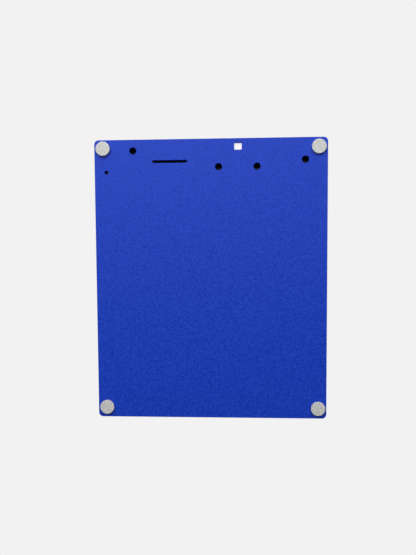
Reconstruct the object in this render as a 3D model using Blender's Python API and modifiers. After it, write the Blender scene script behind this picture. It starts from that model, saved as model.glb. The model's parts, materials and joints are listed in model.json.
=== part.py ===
"""A compact single board computer in a sheet steel case, standing on four stick-on feet.

Frame: +X right, +Y to the rear, +Z up, in metres. The origin is under the middle of the case, on the
surface that the feet stand on. Every piece is one object, placed from the driving sizes below.
"""

import math

import bmesh
import bpy
from mathutils import Matrix, Vector

MM = 0.001

# Fits
SEAT = 0.3 * MM  # gap between pieces that rest on each other
RUNNING = 0.2 * MM  # gap round a screw, a plunger or a sliding card
CUTOUT = 0.4 * MM  # gap between a socket and its opening in a panel
CUTOUT_CORNER = 0.8 * MM

# Case
PLATE_WIDTH = 128 * MM
PLATE_LENGTH = 155 * MM
PLATE_THICK = 1.5 * MM
PLATE_CORNER = 2.4 * MM
SHEET = 1.2 * MM  # cover and end panels
SIDE_LIP = 0.5 * MM  # how far the plate stands out past the cover's sides
END_LIP = 1.0 * MM  # and past its ends
BEND = 2.0 * MM  # outer radius of the cover's bends
HEADROOM = 0.8 * MM  # free height over the tallest piece

# Feet, each stuck on by hand over a screw: how far it lies from that screw's axis
FOOT_RADIUS = 3.95 * MM
FOOT_HEIGHT = 1.5 * MM
FOOT_EDGE = 0.35 * MM
FOOT_OFFSETS = {
    "rear_right": (0.0 * MM, 0.6 * MM),
    "rear_left": (-0.1 * MM, 0.3 * MM),
    "front_right": (-0.1 * MM, 0.3 * MM),
    "front_left": (-0.3 * MM, 0.3 * MM),
}

# Openings in the bottom plate, each placed from the edges it is nearest to
ROUND_HOLE_RADIUS = 1.95 * MM
HOLE_RIGHT = (21.5 * MM, 6.1 * MM)  # from the right edge, from the rear edge
HOLE_LEFT = (12.1 * MM, 11.9 * MM)  # from the left edge, from the rear edge
HOLE_PAIR_SPACING = 21.0 * MM
HOLE_PAIR = (-15.2 * MM, 15.3 * MM)  # from the middle, from the rear edge
PINHOLE_RADIUS = 1.1 * MM
PINHOLE = (6.6 * MM, 17.8 * MM)  # from the right edge, from the rear edge
WINDOW_SIZE = (4.1 * MM, 3.95 * MM)
WINDOW = (-15.3 * MM, 4.2 * MM)  # from the middle, from the rear edge
RIBBON_SLOT = (19.25 * MM, 1.5 * MM)
OPENING_CORNER = 0.45 * MM
RIBBON = (22.2 * MM, 12.1 * MM)  # from the middle, from the rear edge

# Board and what carries it
BOARD_THICK = 1.6 * MM
BOARD_CORNER = 2.0 * MM
SPACER_LENGTH = 5.7 * MM
SPACER_RADIUS = 3.0 * MM
POST_SIDE = 6.0 * MM
POST_BACK = 1.0 * MM  # metal left behind a post's side bores
SCREW_RADIUS = 1.5 * MM
SCREW_TIP = 0.3 * MM  # bevel at its end
SCREW_TIP_GAP = 0.8 * MM
SCREW_HEAD_RADIUS = SCREW_RADIUS + 1.25 * MM
SCREW_HEAD_HEIGHT = 1.6 * MM
FLAT_HEAD_RADIUS = 1.8 * SCREW_RADIUS
FLAT_HEAD_SUNK = 0.2 * MM  # below the plate's face
KEY_RADIUS = 2 / 3 * SCREW_RADIUS  # hexagon socket, to its corners
KEY_DEPTH = 0.8 * MM
PLATE_BORE_DEPTH = 7.0 * MM
BORE_SPACING = 1.0 * MM  # metal left between two bores in a post

# Cooling
PROCESSOR = (17 * MM, 17 * MM, 1.4 * MM)
MEMORY_CHIP = (10 * MM, 14 * MM, 1.1 * MM)
MEMORY_SPACING = 20 * MM
STORAGE_CHIP = (13 * MM, 11.5 * MM, 1.0 * MM)
CHIP_TO_SINK = 5 * MM  # free board between a chip and the heat sink's side
COOLING_PLACE = (-8 * MM, 4 * MM)
HEAT_SINK_SIDE = 40 * MM
HEAT_SINK_HEIGHT = 8.5 * MM
HEAT_SINK_BASE = 2.5 * MM
FIN_COUNT = 10
FIN_THICK = 1.2 * MM
FAN_SIDE = 40 * MM
FAN_THICK = 7.0 * MM
FAN_WALL = 1.2 * MM
FAN_CORNER = 3.0 * MM
FAN_HOLE_RADIUS = 1.6 * MM
FAN_HOLE_INSET = 4.0 * MM  # from the fan's sides to its corner holes
FAN_HUB_RADIUS = 10.5 * MM
FAN_BACK = 1.0 * MM  # motor plate and struts
FAN_STRUT_WIDTH = 2.0 * MM
FAN_STRUT_COUNT = 3
FAN_TIP_GAP = 0.7 * MM
BLADE_COUNT = 7
BLADE_THICK = 0.9 * MM
BLADE_PITCH = math.radians(38)

# Sockets on the rear edge: width, depth, height
POWER_JACK = (9.0 * MM, 14.0 * MM, 11.0 * MM)
HDMI = (15.0 * MM, 11.5 * MM, 6.2 * MM)
USB = (13.2 * MM, 17.5 * MM, 15.6 * MM)
ETHERNET = (16.0 * MM, 21.3 * MM, 13.5 * MM)
AUDIO = (6.4 * MM, 12.0 * MM, 5.6 * MM)
JACK_HOLE_RADIUS = 4.2 * MM
JACK_BORE = (3.2 * MM, 9.5 * MM)  # radius and depth
JACK_PIN = (1.0 * MM, 7.5 * MM)
AUDIO_HOLE_RADIUS = 3.0 * MM
AUDIO_BORE = (1.8 * MM, 10.0 * MM)
SOCKET_PROUD = 0.3 * MM  # how far a socket's mouth stands out of its panel

# Pieces on the front edge
BUTTON_RADIUS = 3.5 * MM
BUTTON_FLANGE_RADIUS = 4.7 * MM
BUTTON_PROUD = 0.9 * MM
BUTTON_TRAVEL = 0.5 * MM
BUTTON_EDGE = 0.4 * MM
BUTTON_FLANGE_THICK = 1.0 * MM
BUTTON_STEM = (1.5 * MM, 1.4 * MM)  # radius, and length behind the flange
POWER_SWITCH = (6.4 * MM, 4.0 * MM)
POWER_SWITCH_RISE = 2.6 * MM  # its top over the button's axis
USB_C = (9.0 * MM, 7.4 * MM, 3.3 * MM)
CARD_SOCKET = (14.0 * MM, 14.5 * MM, 1.9 * MM)
CARD = (11.0 * MM, 15.0 * MM, 0.7 * MM)
CARD_CORNER = 0.6 * MM
CARD_PROUD = 1.0 * MM
CARD_PUSH = 0.5 * MM  # room behind it to push it in and let it go
LIGHT_SPACING = 6.0 * MM
LIGHT_RADIUS = 1.1 * MM
LIGHT_LIFT = 3.4 * MM
LIGHT_BAR_DEPTH = 3.0 * MM

# Pin header and the slot over it
PIN_ROWS = 2
PIN_COLUMNS = 20
PIN_PITCH = 2.54 * MM
PIN_SIDE = 0.64 * MM
PIN_HEIGHT = 6.0 * MM
HEADER_BASE = 2.5 * MM
HEADER_FROM_RIGHT = 12 * MM  # from the board's right edge
HEADER_Y = -10 * MM
HEADER_SLOT_MARGIN = 1.2 * MM
HEADER_SLOT_CORNER = 1.5 * MM

# Underside of the board
TACT = (6.0 * MM, 6.0 * MM)
TACT_RISE = 2.2 * MM  # free height under its body, which the plunger hangs in
PLUNGER_RADIUS = 1.7 * MM
PLUNGER_EDGE = 0.2 * MM
PLUNGER_LIFT = 0.8 * MM  # its tip over the spacers' feet
PLUNGER_BORE_DEPTH = 2.2 * MM
RESET_TRAVEL = 0.25 * MM
RIBBON_BODY = (20.0 * MM, 4.6 * MM)
RIBBON_ENTRY = (16.8 * MM, 1.1 * MM)
RIBBON_ENTRY_DEPTH = 2.6 * MM
LATCH_THICK = 0.8 * MM
LATCH_LEG = (0.9 * MM, 2.4 * MM)
LATCH_LEG_REACH = 2.3 * MM
LATCH_TRAVEL = 0.7 * MM
LATCH_ROOM = 0.1 * MM  # left under the open latch, over the spacers' feet
LED = (3.2 * MM, 1.6 * MM, 0.6 * MM)
LIGHT_BLOCK = (5.0 * MM, 4.0 * MM)

# Coin cell
CELL_RADIUS = 10.0 * MM
CELL_THICK = 3.2 * MM
CELL_EDGE = 0.3 * MM  # rounding of its rim, and height of its shoulder
CELL_HOLDER_WALL = 1.5 * MM
CELL_HOLDER_FLOOR = 1.0 * MM
CELL_HELD = 2.6 * MM  # how much of the cell stands in its holder
CELL_NOTCH = 9.0 * MM  # finger gap across the holder
CELL_FROM_LEFT = 20 * MM
CELL_Y = -30 * MM

# Vents
VENT_WIDTH = 2.4 * MM
VENT_PITCH = 4.4 * MM
SIDE_VENT = (2.2 * MM, 12.0 * MM)
SIDE_VENT_PITCH = 5.5 * MM
SIDE_VENT_COUNT = 11

# Levels and faces worked out from the sizes
FAN_BORE_RADIUS = FAN_SIDE / 2 - FAN_WALL
PLATE_Z = FOOT_HEIGHT + SEAT
FLOOR_Z = PLATE_Z + PLATE_THICK
SPACER_Z = FLOOR_Z + SEAT
BOARD_Z = SPACER_Z + SPACER_LENGTH + SEAT
BOARD_TOP = BOARD_Z + BOARD_THICK
ON_BOARD = BOARD_TOP + SEAT  # underside of what is soldered on top
UNDER_BOARD = BOARD_Z - SEAT  # top of what is soldered underneath
HEAT_SINK_Z = ON_BOARD + PROCESSOR[2] + SEAT
FAN_Z = HEAT_SINK_Z + HEAT_SINK_HEIGHT + SEAT
CEILING_Z = max(FAN_Z + FAN_THICK, ON_BOARD + USB[2], ON_BOARD + ETHERNET[2]) + HEADROOM
COVER_TOP = CEILING_Z + SHEET
COVER_X = PLATE_WIDTH / 2 - SIDE_LIP
WALL_X = COVER_X - SHEET  # inner face of the cover's side
PANEL_Y = PLATE_LENGTH / 2 - END_LIP  # outer face of an end panel
INSIDE_Y = PANEL_Y - SHEET
BOARD_X = WALL_X - SEAT
BOARD_Y = INSIDE_Y - SEAT
POST_X = BOARD_X - POST_SIDE / 2
POST_Y = BOARD_Y - POST_SIDE / 2
POST_TOP = CEILING_Z - SEAT
UNDER_BEND = max(BEND - SHEET - SEAT, 0.2 * MM)  # rounding of what stands under the cover's bends
BORE_RADIUS = SCREW_RADIUS + RUNNING
SIDE_BORE_DEPTH = POST_SIDE - POST_BACK
SIDE_SCREW_LENGTH = 2 * SEAT + SHEET + SIDE_BORE_DEPTH - SCREW_TIP_GAP
PLATE_SCREW_LENGTH = ON_BOARD + PLATE_BORE_DEPTH - SCREW_TIP_GAP - PLATE_Z - FLAT_HEAD_SUNK
PANEL_SCREW_Z = ON_BOARD + PLATE_BORE_DEPTH + BORE_SPACING + BORE_RADIUS
BUTTON_Z = ON_BOARD + BUTTON_FLANGE_RADIUS  # the flange just clears the board
COVER_SCREW_Z = PANEL_SCREW_Z + 2 * BORE_RADIUS + BORE_SPACING
CORNERS = {
    "rear_right": (1, 1),
    "rear_left": (-1, 1),
    "front_right": (1, -1),
    "front_left": (-1, -1),
}
OVERCUT = 1.0 * MM  # how far a cutter runs past the face it enters

AXIS_TURNS = {
    "Z": Matrix(),
    "X": Matrix.Rotation(math.pi / 2, 4, "Y"),
    "Y": Matrix.Rotation(-math.pi / 2, 4, "X"),
}


def clear_scene():
    for obj in list(bpy.data.objects):
        bpy.data.objects.remove(obj)


def collection(name):
    made = bpy.data.collections.new(name)
    bpy.context.scene.collection.children.link(made)
    return made


def material(name, colour, roughness, metallic=0.0):
    made = bpy.data.materials.new(name)
    made.use_nodes = True
    shader = made.node_tree.nodes["Principled BSDF"]
    shader.inputs["Base Color"].default_value = (*colour, 1)
    shader.inputs["Roughness"].default_value = roughness
    shader.inputs["Metallic"].default_value = metallic
    return made


clear_scene()
PARTS = collection("single_board_computer")
CUTTERS = collection("cutters")

COAT = material("blue_powder_coat", (0.01, 0.045, 0.42), 0.5)
PAD = material("grey_foot_pad", (0.6, 0.6, 0.58), 0.8)
MASK = material("black_solder_mask", (0.01, 0.012, 0.011), 0.45)
BLACK = material("black_plastic", (0.015, 0.015, 0.015), 0.45)
BLUE_PLASTIC = material("blue_plastic", (0.02, 0.12, 0.6), 0.4)
OPAL = material("opal_acrylic", (0.9, 0.9, 0.88), 0.35)
PLATED = material("plated_steel", (0.72, 0.71, 0.68), 0.3, 1.0)
BLACK_STEEL = material("black_oxide_steel", (0.02, 0.02, 0.02), 0.4, 1.0)
ALUMINIUM = material("aluminium", (0.78, 0.79, 0.8), 0.35, 1.0)
BLACK_ALUMINIUM = material("black_anodised_aluminium", (0.02, 0.02, 0.022), 0.45, 1.0)
RESIN = material("chip_resin", (0.02, 0.02, 0.022), 0.55)


def box(size, centre, rounded="", radius=0.0, segments=4):
    """A box as a bmesh, with its edges along the axis named in rounded rounded off."""
    bm = bmesh.new()
    bmesh.ops.create_cube(bm, size=1, matrix=Matrix.LocRotScale(Vector(centre), None, Vector(size)))
    if rounded:
        axis = Vector([letter == rounded for letter in "XYZ"])
        along = [e for e in bm.edges if abs((e.verts[1].co - e.verts[0].co).normalized() @ axis) > 0.9]
        bmesh.ops.bevel(bm, geom=along, offset=radius, segments=segments, profile=0.5, affect="EDGES")
    return bm


def rod(radius, length, centre, axis="Z", segments=24, end_radius=None):
    """A cylinder as a bmesh, or a cone where the end towards +axis has its own radius."""
    bm = bmesh.new()
    bmesh.ops.create_cone(
        bm,
        cap_ends=True,
        segments=segments,
        radius1=radius,
        radius2=radius if end_radius is None else end_radius,
        depth=length,
        matrix=Matrix.Translation(Vector(centre)) @ AXIS_TURNS[axis],
    )
    return bm


def block(size, base, **rounding):
    """A box that stands on the point base."""
    return box(size, (base[0], base[1], base[2] + size[2] / 2), **rounding)


def as_object(name, bm, into):
    mesh = bpy.data.meshes.new(name)
    bm.to_mesh(mesh)
    bm.free()
    made = bpy.data.objects.new(name, mesh)
    into.objects.link(made)
    return made


def modify(obj, bm, operation):
    """Cuts or joins one more shape, kept as a hidden helper."""
    helper = as_object(f"{obj.name}_{operation.lower()}_{len(obj.modifiers)}", bm, CUTTERS)
    helper.matrix_world = obj.matrix_world.copy()
    helper.data.transform(obj.matrix_world.inverted())
    helper.hide_render = True
    helper.display_type = "WIRE"
    modifier = obj.modifiers.new(operation.title(), "BOOLEAN")
    modifier.operation = operation
    modifier.object = helper
    modifier.solver = "EXACT"


def piece(name, finish, bm, cuts=(), joins=(), origin=(0, 0, 0)):
    """One sub-part: a base shape, less its cuts and with its joins, with its origin where it moves about."""
    obj = as_object(name, bm, PARTS)
    obj.data.transform(Matrix.Translation(-Vector(origin)))
    obj.location = origin
    bpy.context.view_layer.update()
    obj.data.materials.append(finish)
    for shape in joins:
        modify(obj, shape, "UNION")
    for shape in cuts:
        modify(obj, shape, "DIFFERENCE")
    obj.data.shade_smooth()
    obj.data.set_sharp_from_angle(angle=math.radians(30))
    return obj


def turned(name, finish, profile, place, turn="Z", flip=False, steps=24, cuts=()):
    """A turned piece: profile is (radius, height) points down its outer side, turned onto an axis."""
    bm = bmesh.new()
    verts = [bm.verts.new((radius, 0, height)) for radius, height in profile]
    for first, second in zip(verts, verts[1:]):
        bm.edges.new((first, second))
    obj = as_object(name, bm, PARTS)
    around = AXIS_TURNS[turn] @ (Matrix.Rotation(math.pi, 4, "X") if flip else Matrix())
    obj.matrix_world = Matrix.Translation(Vector(place)) @ around
    bpy.context.view_layer.update()
    obj.data.materials.append(finish)
    screw = obj.modifiers.new("Turn", "SCREW")
    screw.steps = steps
    screw.render_steps = steps
    screw.use_merge_vertices = True
    screw.merge_threshold = 0.00001
    for shape in cuts:
        modify(obj, shape, "DIFFERENCE")
    return obj


def spread_row(widths, span):
    """Middles of pieces side by side across span, with the same gap between and beside them."""
    gap = (span - sum(widths)) / (len(widths) + 1)
    middles, edge = [], -span / 2
    for width in widths:
        middles.append(edge + gap + width / 2)
        edge += gap + width
    return middles


ROW_SPAN = 2 * (POST_X - POST_SIDE / 2)
REAR_WIDTHS = [AUDIO[0], ETHERNET[0], USB[0], HDMI[0], POWER_JACK[0]]
AUDIO_X, ETHERNET_X, USB_X, HDMI_X, JACK_X = spread_row(REAR_WIDTHS, ROW_SPAN)
LIGHTS_WIDTH = LIGHT_SPACING + 4 * LIGHT_RADIUS
FRONT_WIDTHS = [LIGHTS_WIDTH, CARD_SOCKET[0], USB_C[0], 2 * BUTTON_FLANGE_RADIUS]
LIGHTS_X, CARD_X, USB_C_X, BUTTON_X = spread_row(FRONT_WIDTHS, ROW_SPAN)

REAR_EDGE = PLATE_LENGTH / 2
RIGHT_EDGE = PLATE_WIDTH / 2
PINHOLE_PLACE = (RIGHT_EDGE - PINHOLE[0], REAR_EDGE - PINHOLE[1])
WINDOW_PLACE = (WINDOW[0], REAR_EDGE - WINDOW[1])
RIBBON_PLACE = (RIBBON[0], REAR_EDGE - RIBBON[1])
HOLE_PLACES = [
    (RIGHT_EDGE - HOLE_RIGHT[0], REAR_EDGE - HOLE_RIGHT[1]),
    (-RIGHT_EDGE + HOLE_LEFT[0], REAR_EDGE - HOLE_LEFT[1]),
    (HOLE_PAIR[0] - HOLE_PAIR_SPACING / 2, REAR_EDGE - HOLE_PAIR[1]),
    (HOLE_PAIR[0] + HOLE_PAIR_SPACING / 2, REAR_EDGE - HOLE_PAIR[1]),
]


def through_plate(radius, place, segments=24):
    return rod(radius, PLATE_THICK + 2 * OVERCUT, (*place, PLATE_Z + PLATE_THICK / 2), segments=segments)


def countersink(place):
    """The hole for a flat headed screw: a bore with a 90 degree funnel open to the underside."""
    depth = PLATE_THICK + OVERCUT
    wide = FLAT_HEAD_RADIUS + PLATE_THICK / 3
    return rod(
        wide + OVERCUT,
        depth,
        (*place, PLATE_Z - OVERCUT + depth / 2),
        end_radius=wide + OVERCUT - depth,
    )


def bottom_plate():
    middle_z = PLATE_Z + PLATE_THICK / 2
    deep = PLATE_THICK + 2 * OVERCUT
    cuts = [through_plate(ROUND_HOLE_RADIUS, place) for place in HOLE_PLACES]
    cuts.append(through_plate(PINHOLE_RADIUS, PINHOLE_PLACE, 16))
    window = (*WINDOW_SIZE, deep)
    cuts.append(box(window, (*WINDOW_PLACE, middle_z), rounded="Z", radius=OPENING_CORNER, segments=3))
    slot = (*RIBBON_SLOT, deep)
    cuts.append(box(slot, (*RIBBON_PLACE, middle_z), rounded="Z", radius=OPENING_CORNER, segments=3))
    for side, end in CORNERS.values():
        place = (side * POST_X, end * POST_Y)
        cuts += [through_plate(BORE_RADIUS, place), countersink(place)]
    size = (PLATE_WIDTH, PLATE_LENGTH, PLATE_THICK)
    plate = box(size, (0, 0, middle_z), rounded="Z", radius=PLATE_CORNER, segments=6)
    piece("bottom_plate", COAT, plate, cuts)


def vent_slots():
    """Slots over the fan, each cut to the chord of the fan's bore."""
    count = int(2 * FAN_BORE_RADIUS / VENT_PITCH)
    for number in range(count):
        across = (number - (count - 1) / 2) * VENT_PITCH
        length = 2 * math.sqrt(FAN_BORE_RADIUS**2 - (abs(across) + VENT_WIDTH / 2) ** 2)
        place = (COOLING_PLACE[0] + across, COOLING_PLACE[1], CEILING_Z)
        yield box((VENT_WIDTH, length, 4 * SHEET), place, rounded="Z", radius=0.49 * VENT_WIDTH, segments=3)


def side_slots():
    for number in range(SIDE_VENT_COUNT):
        along = (number - (SIDE_VENT_COUNT - 1) / 2) * SIDE_VENT_PITCH
        size = (2 * PLATE_WIDTH, *SIDE_VENT)
        place = (0, along, (BOARD_TOP + CEILING_Z) / 2)
        yield box(size, place, rounded="X", radius=0.49 * SIDE_VENT[0], segments=3)


HEADER_X = BOARD_X - HEADER_FROM_RIGHT
HEADER_SIZE = (PIN_ROWS * PIN_PITCH, PIN_COLUMNS * PIN_PITCH)


def cover():
    """Top and both sides from one folded sheet, open at the ends and underneath."""
    height = COVER_TOP - SPACER_Z
    bm = box((2 * COVER_X, 2 * PANEL_Y, height), (0, 0, SPACER_Z + height / 2))
    open_faces = [f for f in bm.faces if abs(f.normal.y) > 0.9 or f.normal.z < -0.9]
    bmesh.ops.delete(bm, geom=open_faces, context="FACES")
    bends = [e for e in bm.edges if len(e.link_faces) == 2]
    bmesh.ops.bevel(bm, geom=bends, offset=BEND, segments=5, profile=0.5, affect="EDGES")
    obj = as_object("cover", bm, PARTS)
    obj.data.materials.append(COAT)
    shell = obj.modifiers.new("Sheet", "SOLIDIFY")
    shell.thickness = SHEET
    shell.offset = -1
    shell.use_even_offset = True
    slot = (HEADER_SIZE[0] + 2 * HEADER_SLOT_MARGIN, HEADER_SIZE[1] + 2 * HEADER_SLOT_MARGIN, 4 * SHEET)
    place = (HEADER_X, HEADER_Y, CEILING_Z)
    modify(obj, box(slot, place, rounded="Z", radius=HEADER_SLOT_CORNER), "DIFFERENCE")
    for shape in (*vent_slots(), *side_slots()):
        modify(obj, shape, "DIFFERENCE")
    for end in (1, -1):
        bore = rod(BORE_RADIUS, 2 * PLATE_WIDTH, (0, end * POST_Y, COVER_SCREW_Z), "X")
        modify(obj, bore, "DIFFERENCE")


def panel_cut(size, x, bottom, end, radius):
    """A rounded opening through an end panel, CUTOUT larger than the socket all round."""
    width, height = size[0] + 2 * CUTOUT, size[2] + 2 * CUTOUT
    middle = (x, end * (PANEL_Y - SHEET / 2), bottom + size[2] / 2)
    return box((width, 4 * SHEET, height), middle, rounded="Y", radius=radius)


def round_panel_cut(radius, x, z, end):
    return rod(radius, 4 * SHEET, (x, end * (PANEL_Y - SHEET / 2), z), "Y")


def end_panel(name, end, cuts):
    size = (2 * BOARD_X, SHEET, POST_TOP - SPACER_Z)
    sheet = block(size, (0, end * (PANEL_Y - SHEET / 2), SPACER_Z), rounded="Y", radius=UNDER_BEND)
    for side in (1, -1):
        cuts.append(round_panel_cut(BORE_RADIUS, side * POST_X, PANEL_SCREW_Z, end))
    piece(name, COAT, sheet, cuts)


def end_panels():
    jack_z = ON_BOARD + POWER_JACK[2] / 2
    audio_z = ON_BOARD + AUDIO[2] / 2
    rear = [
        panel_cut(HDMI, HDMI_X, ON_BOARD, 1, CUTOUT_CORNER),
        panel_cut(USB, USB_X, ON_BOARD, 1, CUTOUT_CORNER),
        panel_cut(ETHERNET, ETHERNET_X, ON_BOARD, 1, CUTOUT_CORNER),
        round_panel_cut(JACK_HOLE_RADIUS, JACK_X, jack_z, 1),
        round_panel_cut(AUDIO_HOLE_RADIUS, AUDIO_X, audio_z, 1),
    ]
    end_panel("rear_panel", 1, rear)
    front = [
        round_panel_cut(BUTTON_RADIUS + RUNNING, BUTTON_X, BUTTON_Z, -1),
        panel_cut(USB_C, USB_C_X, ON_BOARD, -1, USB_C_END + USB_C_WALL + CUTOUT),
        panel_cut((CARD[0], 0, CARD_SOCKET[2]), CARD_X, ON_BOARD, -1, CUTOUT_CORNER),
    ]
    for side in (1, -1):
        x = LIGHTS_X + side * LIGHT_SPACING / 2
        front.append(round_panel_cut(LIGHT_RADIUS + RUNNING, x, BOARD_TOP + LIGHT_LIFT, -1))
    end_panel("front_panel", -1, front)


def feet():
    profile = [
        (0, FOOT_HEIGHT),
        (FOOT_RADIUS, FOOT_HEIGHT),
        (FOOT_RADIUS, FOOT_EDGE),
        (FOOT_RADIUS - 0.3 * FOOT_EDGE, 0.3 * FOOT_EDGE),
        (FOOT_RADIUS - FOOT_EDGE, 0),
        (0, 0),
    ]
    for corner, (side, end) in CORNERS.items():
        dx, dy = FOOT_OFFSETS[corner]
        turned(f"foot_{corner}", PAD, profile, (side * POST_X + dx, end * POST_Y + dy, 0), steps=28)


def plate_screws():
    """Flat headed screws from under the feet, through spacer and board into the posts."""
    profile = [
        (0, PLATE_SCREW_LENGTH),
        (SCREW_RADIUS - SCREW_TIP, PLATE_SCREW_LENGTH),
        (SCREW_RADIUS, PLATE_SCREW_LENGTH - SCREW_TIP),
        (SCREW_RADIUS, FLAT_HEAD_RADIUS - SCREW_RADIUS),
        (FLAT_HEAD_RADIUS, 0),
        (0, 0),
    ]
    for corner, (side, end) in CORNERS.items():
        place = (side * POST_X, end * POST_Y, PLATE_Z + FLAT_HEAD_SUNK)
        socket = rod(KEY_RADIUS, 2 * KEY_DEPTH, place, segments=6)
        turned(f"plate_screw_{corner}", BLACK_STEEL, profile, place, steps=16, cuts=[socket])


def head_screw(name, place, turn, flip):
    """A button headed screw whose head rests on the plane through place and points along its axis."""
    rise = SCREW_HEAD_HEIGHT
    profile = [
        (0, rise),
        (0.55 * SCREW_HEAD_RADIUS, rise),
        (0.88 * SCREW_HEAD_RADIUS, 0.6 * rise),
        (SCREW_HEAD_RADIUS, 0.15 * rise),
        (SCREW_HEAD_RADIUS, 0),
        (SCREW_RADIUS, 0),
        (SCREW_RADIUS, SCREW_TIP - SIDE_SCREW_LENGTH),
        (SCREW_RADIUS - SCREW_TIP, -SIDE_SCREW_LENGTH),
        (0, -SIDE_SCREW_LENGTH),
    ]
    outward = AXIS_TURNS[turn] @ Vector((0, 0, -1 if flip else 1))
    socket = rod(KEY_RADIUS, 2 * KEY_DEPTH, Vector(place) + outward * rise, turn, segments=6)
    turned(name, BLACK_STEEL, profile, place, turn, flip, steps=16, cuts=[socket])


def case_screws():
    for corner, (side, end) in CORNERS.items():
        on_side = (side * (COVER_X + SEAT), end * POST_Y, COVER_SCREW_Z)
        head_screw(f"cover_screw_{corner}", on_side, "X", side < 0)
        on_end = (side * POST_X, end * (PANEL_Y + SEAT), PANEL_SCREW_Z)
        head_screw(f"panel_screw_{corner}", on_end, "Y", end < 0)


def spacers_and_posts():
    for corner, (side, end) in CORNERS.items():
        x, y = side * POST_X, end * POST_Y
        tube = rod(SPACER_RADIUS, SPACER_LENGTH, (x, y, SPACER_Z + SPACER_LENGTH / 2))
        bore = rod(BORE_RADIUS, 2 * SPACER_LENGTH, (x, y, SPACER_Z + SPACER_LENGTH / 2))
        piece(f"spacer_{corner}", ALUMINIUM, tube, [bore])
        size = (POST_SIDE, POST_SIDE, POST_TOP - ON_BOARD)
        post = block(size, (x, y, ON_BOARD), rounded="Y", radius=UNDER_BEND)
        half = POST_SIDE / 2
        cuts = [
            rod(BORE_RADIUS, 2 * PLATE_BORE_DEPTH, (x, y, ON_BOARD), segments=20),
            rod(BORE_RADIUS, 2 * SIDE_BORE_DEPTH, (x + side * half, y, COVER_SCREW_Z), "X", 20),
            rod(BORE_RADIUS, 2 * SIDE_BORE_DEPTH, (x, y + end * half, PANEL_SCREW_Z), "Y", 20),
        ]
        piece(f"post_{corner}", ALUMINIUM, post, cuts)


def mainboard():
    size = (2 * BOARD_X, 2 * BOARD_Y, BOARD_THICK)
    bm = block(size, (0, 0, BOARD_Z), rounded="Z", radius=BOARD_CORNER)
    places = [(side * POST_X, end * POST_Y, BOARD_Z + BOARD_THICK / 2) for side, end in CORNERS.values()]
    holes = [rod(BORE_RADIUS, 3 * BOARD_THICK, place) for place in places]
    piece("mainboard", MASK, bm, holes)


def chips():
    x, y = COOLING_PLACE
    piece("processor", RESIN, block(PROCESSOR, (x, y, ON_BOARD)))
    memory_x = x + HEAT_SINK_SIDE / 2 + CHIP_TO_SINK + MEMORY_CHIP[0] / 2
    for name, side in (("memory_chip_rear", 0.5), ("memory_chip_front", -0.5)):
        piece(name, RESIN, block(MEMORY_CHIP, (memory_x, y + side * MEMORY_SPACING, ON_BOARD)))
    storage_y = y - HEAT_SINK_SIDE / 2 - CHIP_TO_SINK - STORAGE_CHIP[1] / 2
    piece("storage_chip", RESIN, block(STORAGE_CHIP, (x, storage_y, ON_BOARD)))


def heat_sink():
    x, y = COOLING_PLACE
    bm = block((HEAT_SINK_SIDE, HEAT_SINK_SIDE, HEAT_SINK_HEIGHT), (x, y, HEAT_SINK_Z))
    pitch = (HEAT_SINK_SIDE - FIN_THICK) / (FIN_COUNT - 1)
    tall = HEAT_SINK_HEIGHT - HEAT_SINK_BASE
    gaps = [
        block(
            (pitch - FIN_THICK, HEAT_SINK_SIDE + 2 * OVERCUT, tall + OVERCUT),
            (x + (number - (FIN_COUNT - 2) / 2) * pitch, y, HEAT_SINK_Z + HEAT_SINK_BASE),
        )
        for number in range(FIN_COUNT - 1)
    ]
    piece("heat_sink", BLACK_ALUMINIUM, bm, gaps)


def fan_frame():
    """Square duct with a motor plate on three struts at its lower face."""
    x, y = COOLING_PLACE
    duct = block((FAN_SIDE, FAN_SIDE, FAN_THICK), (x, y, FAN_Z), rounded="Z", radius=FAN_CORNER)
    middle = FAN_Z + FAN_THICK / 2
    cuts = [rod(FAN_BORE_RADIUS, 2 * FAN_THICK, (x, y, middle), segments=48)]
    out = FAN_SIDE / 2 - FAN_HOLE_INSET
    for side, end in CORNERS.values():
        place = (x + side * out, y + end * out, middle)
        cuts.append(rod(FAN_HOLE_RADIUS, 2 * FAN_THICK, place, segments=16))
    frame = piece("fan_frame", BLACK, duct, cuts)
    modify(frame, rod(FAN_HUB_RADIUS, FAN_BACK, (x, y, FAN_Z + FAN_BACK / 2), segments=32), "UNION")
    reach = FAN_BORE_RADIUS - FAN_HUB_RADIUS + 2 * OVERCUT
    mid_reach = (FAN_HUB_RADIUS + FAN_BORE_RADIUS) / 2
    for number in range(FAN_STRUT_COUNT):
        strut = box((reach, FAN_STRUT_WIDTH, FAN_BACK), (mid_reach, 0, FAN_BACK / 2))
        turn = Matrix.Rotation(2 * math.pi * (number + 0.25) / FAN_STRUT_COUNT, 4, "Z")
        strut.transform(Matrix.Translation((x, y, FAN_Z)) @ turn)
        modify(frame, strut, "UNION")


def fan_rotor():
    """Hub and pitched blades, turning on the duct's axis."""
    x, y = COOLING_PLACE
    low = FAN_Z + FAN_BACK + SEAT
    tall = FAN_Z + FAN_THICK - SEAT - low
    tip = FAN_BORE_RADIUS - FAN_TIP_GAP
    root = FAN_HUB_RADIUS - OVERCUT
    run = (tall - BLADE_THICK) / math.sin(BLADE_PITCH) * 0.9
    blades = []
    for number in range(BLADE_COUNT):
        blade = box((tip - root, run, BLADE_THICK), ((tip + root) / 2, 0, 0))
        blade.transform(Matrix.Rotation(BLADE_PITCH, 4, "X"))
        turn = Matrix.Rotation(2 * math.pi * number / BLADE_COUNT, 4, "Z")
        blade.transform(Matrix.Translation((x, y, low + tall / 2)) @ turn)
        blades.append(blade)
    trim = rod(tip, tall, (x, y, low + tall / 2), segments=48)
    hub = rod(FAN_HUB_RADIUS, tall, (x, y, low + tall / 2), segments=32)
    rotor = piece("fan_rotor", BLACK, hub, joins=blades, origin=(x, y, low))
    modify(rotor, trim, "INTERSECT")


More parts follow.
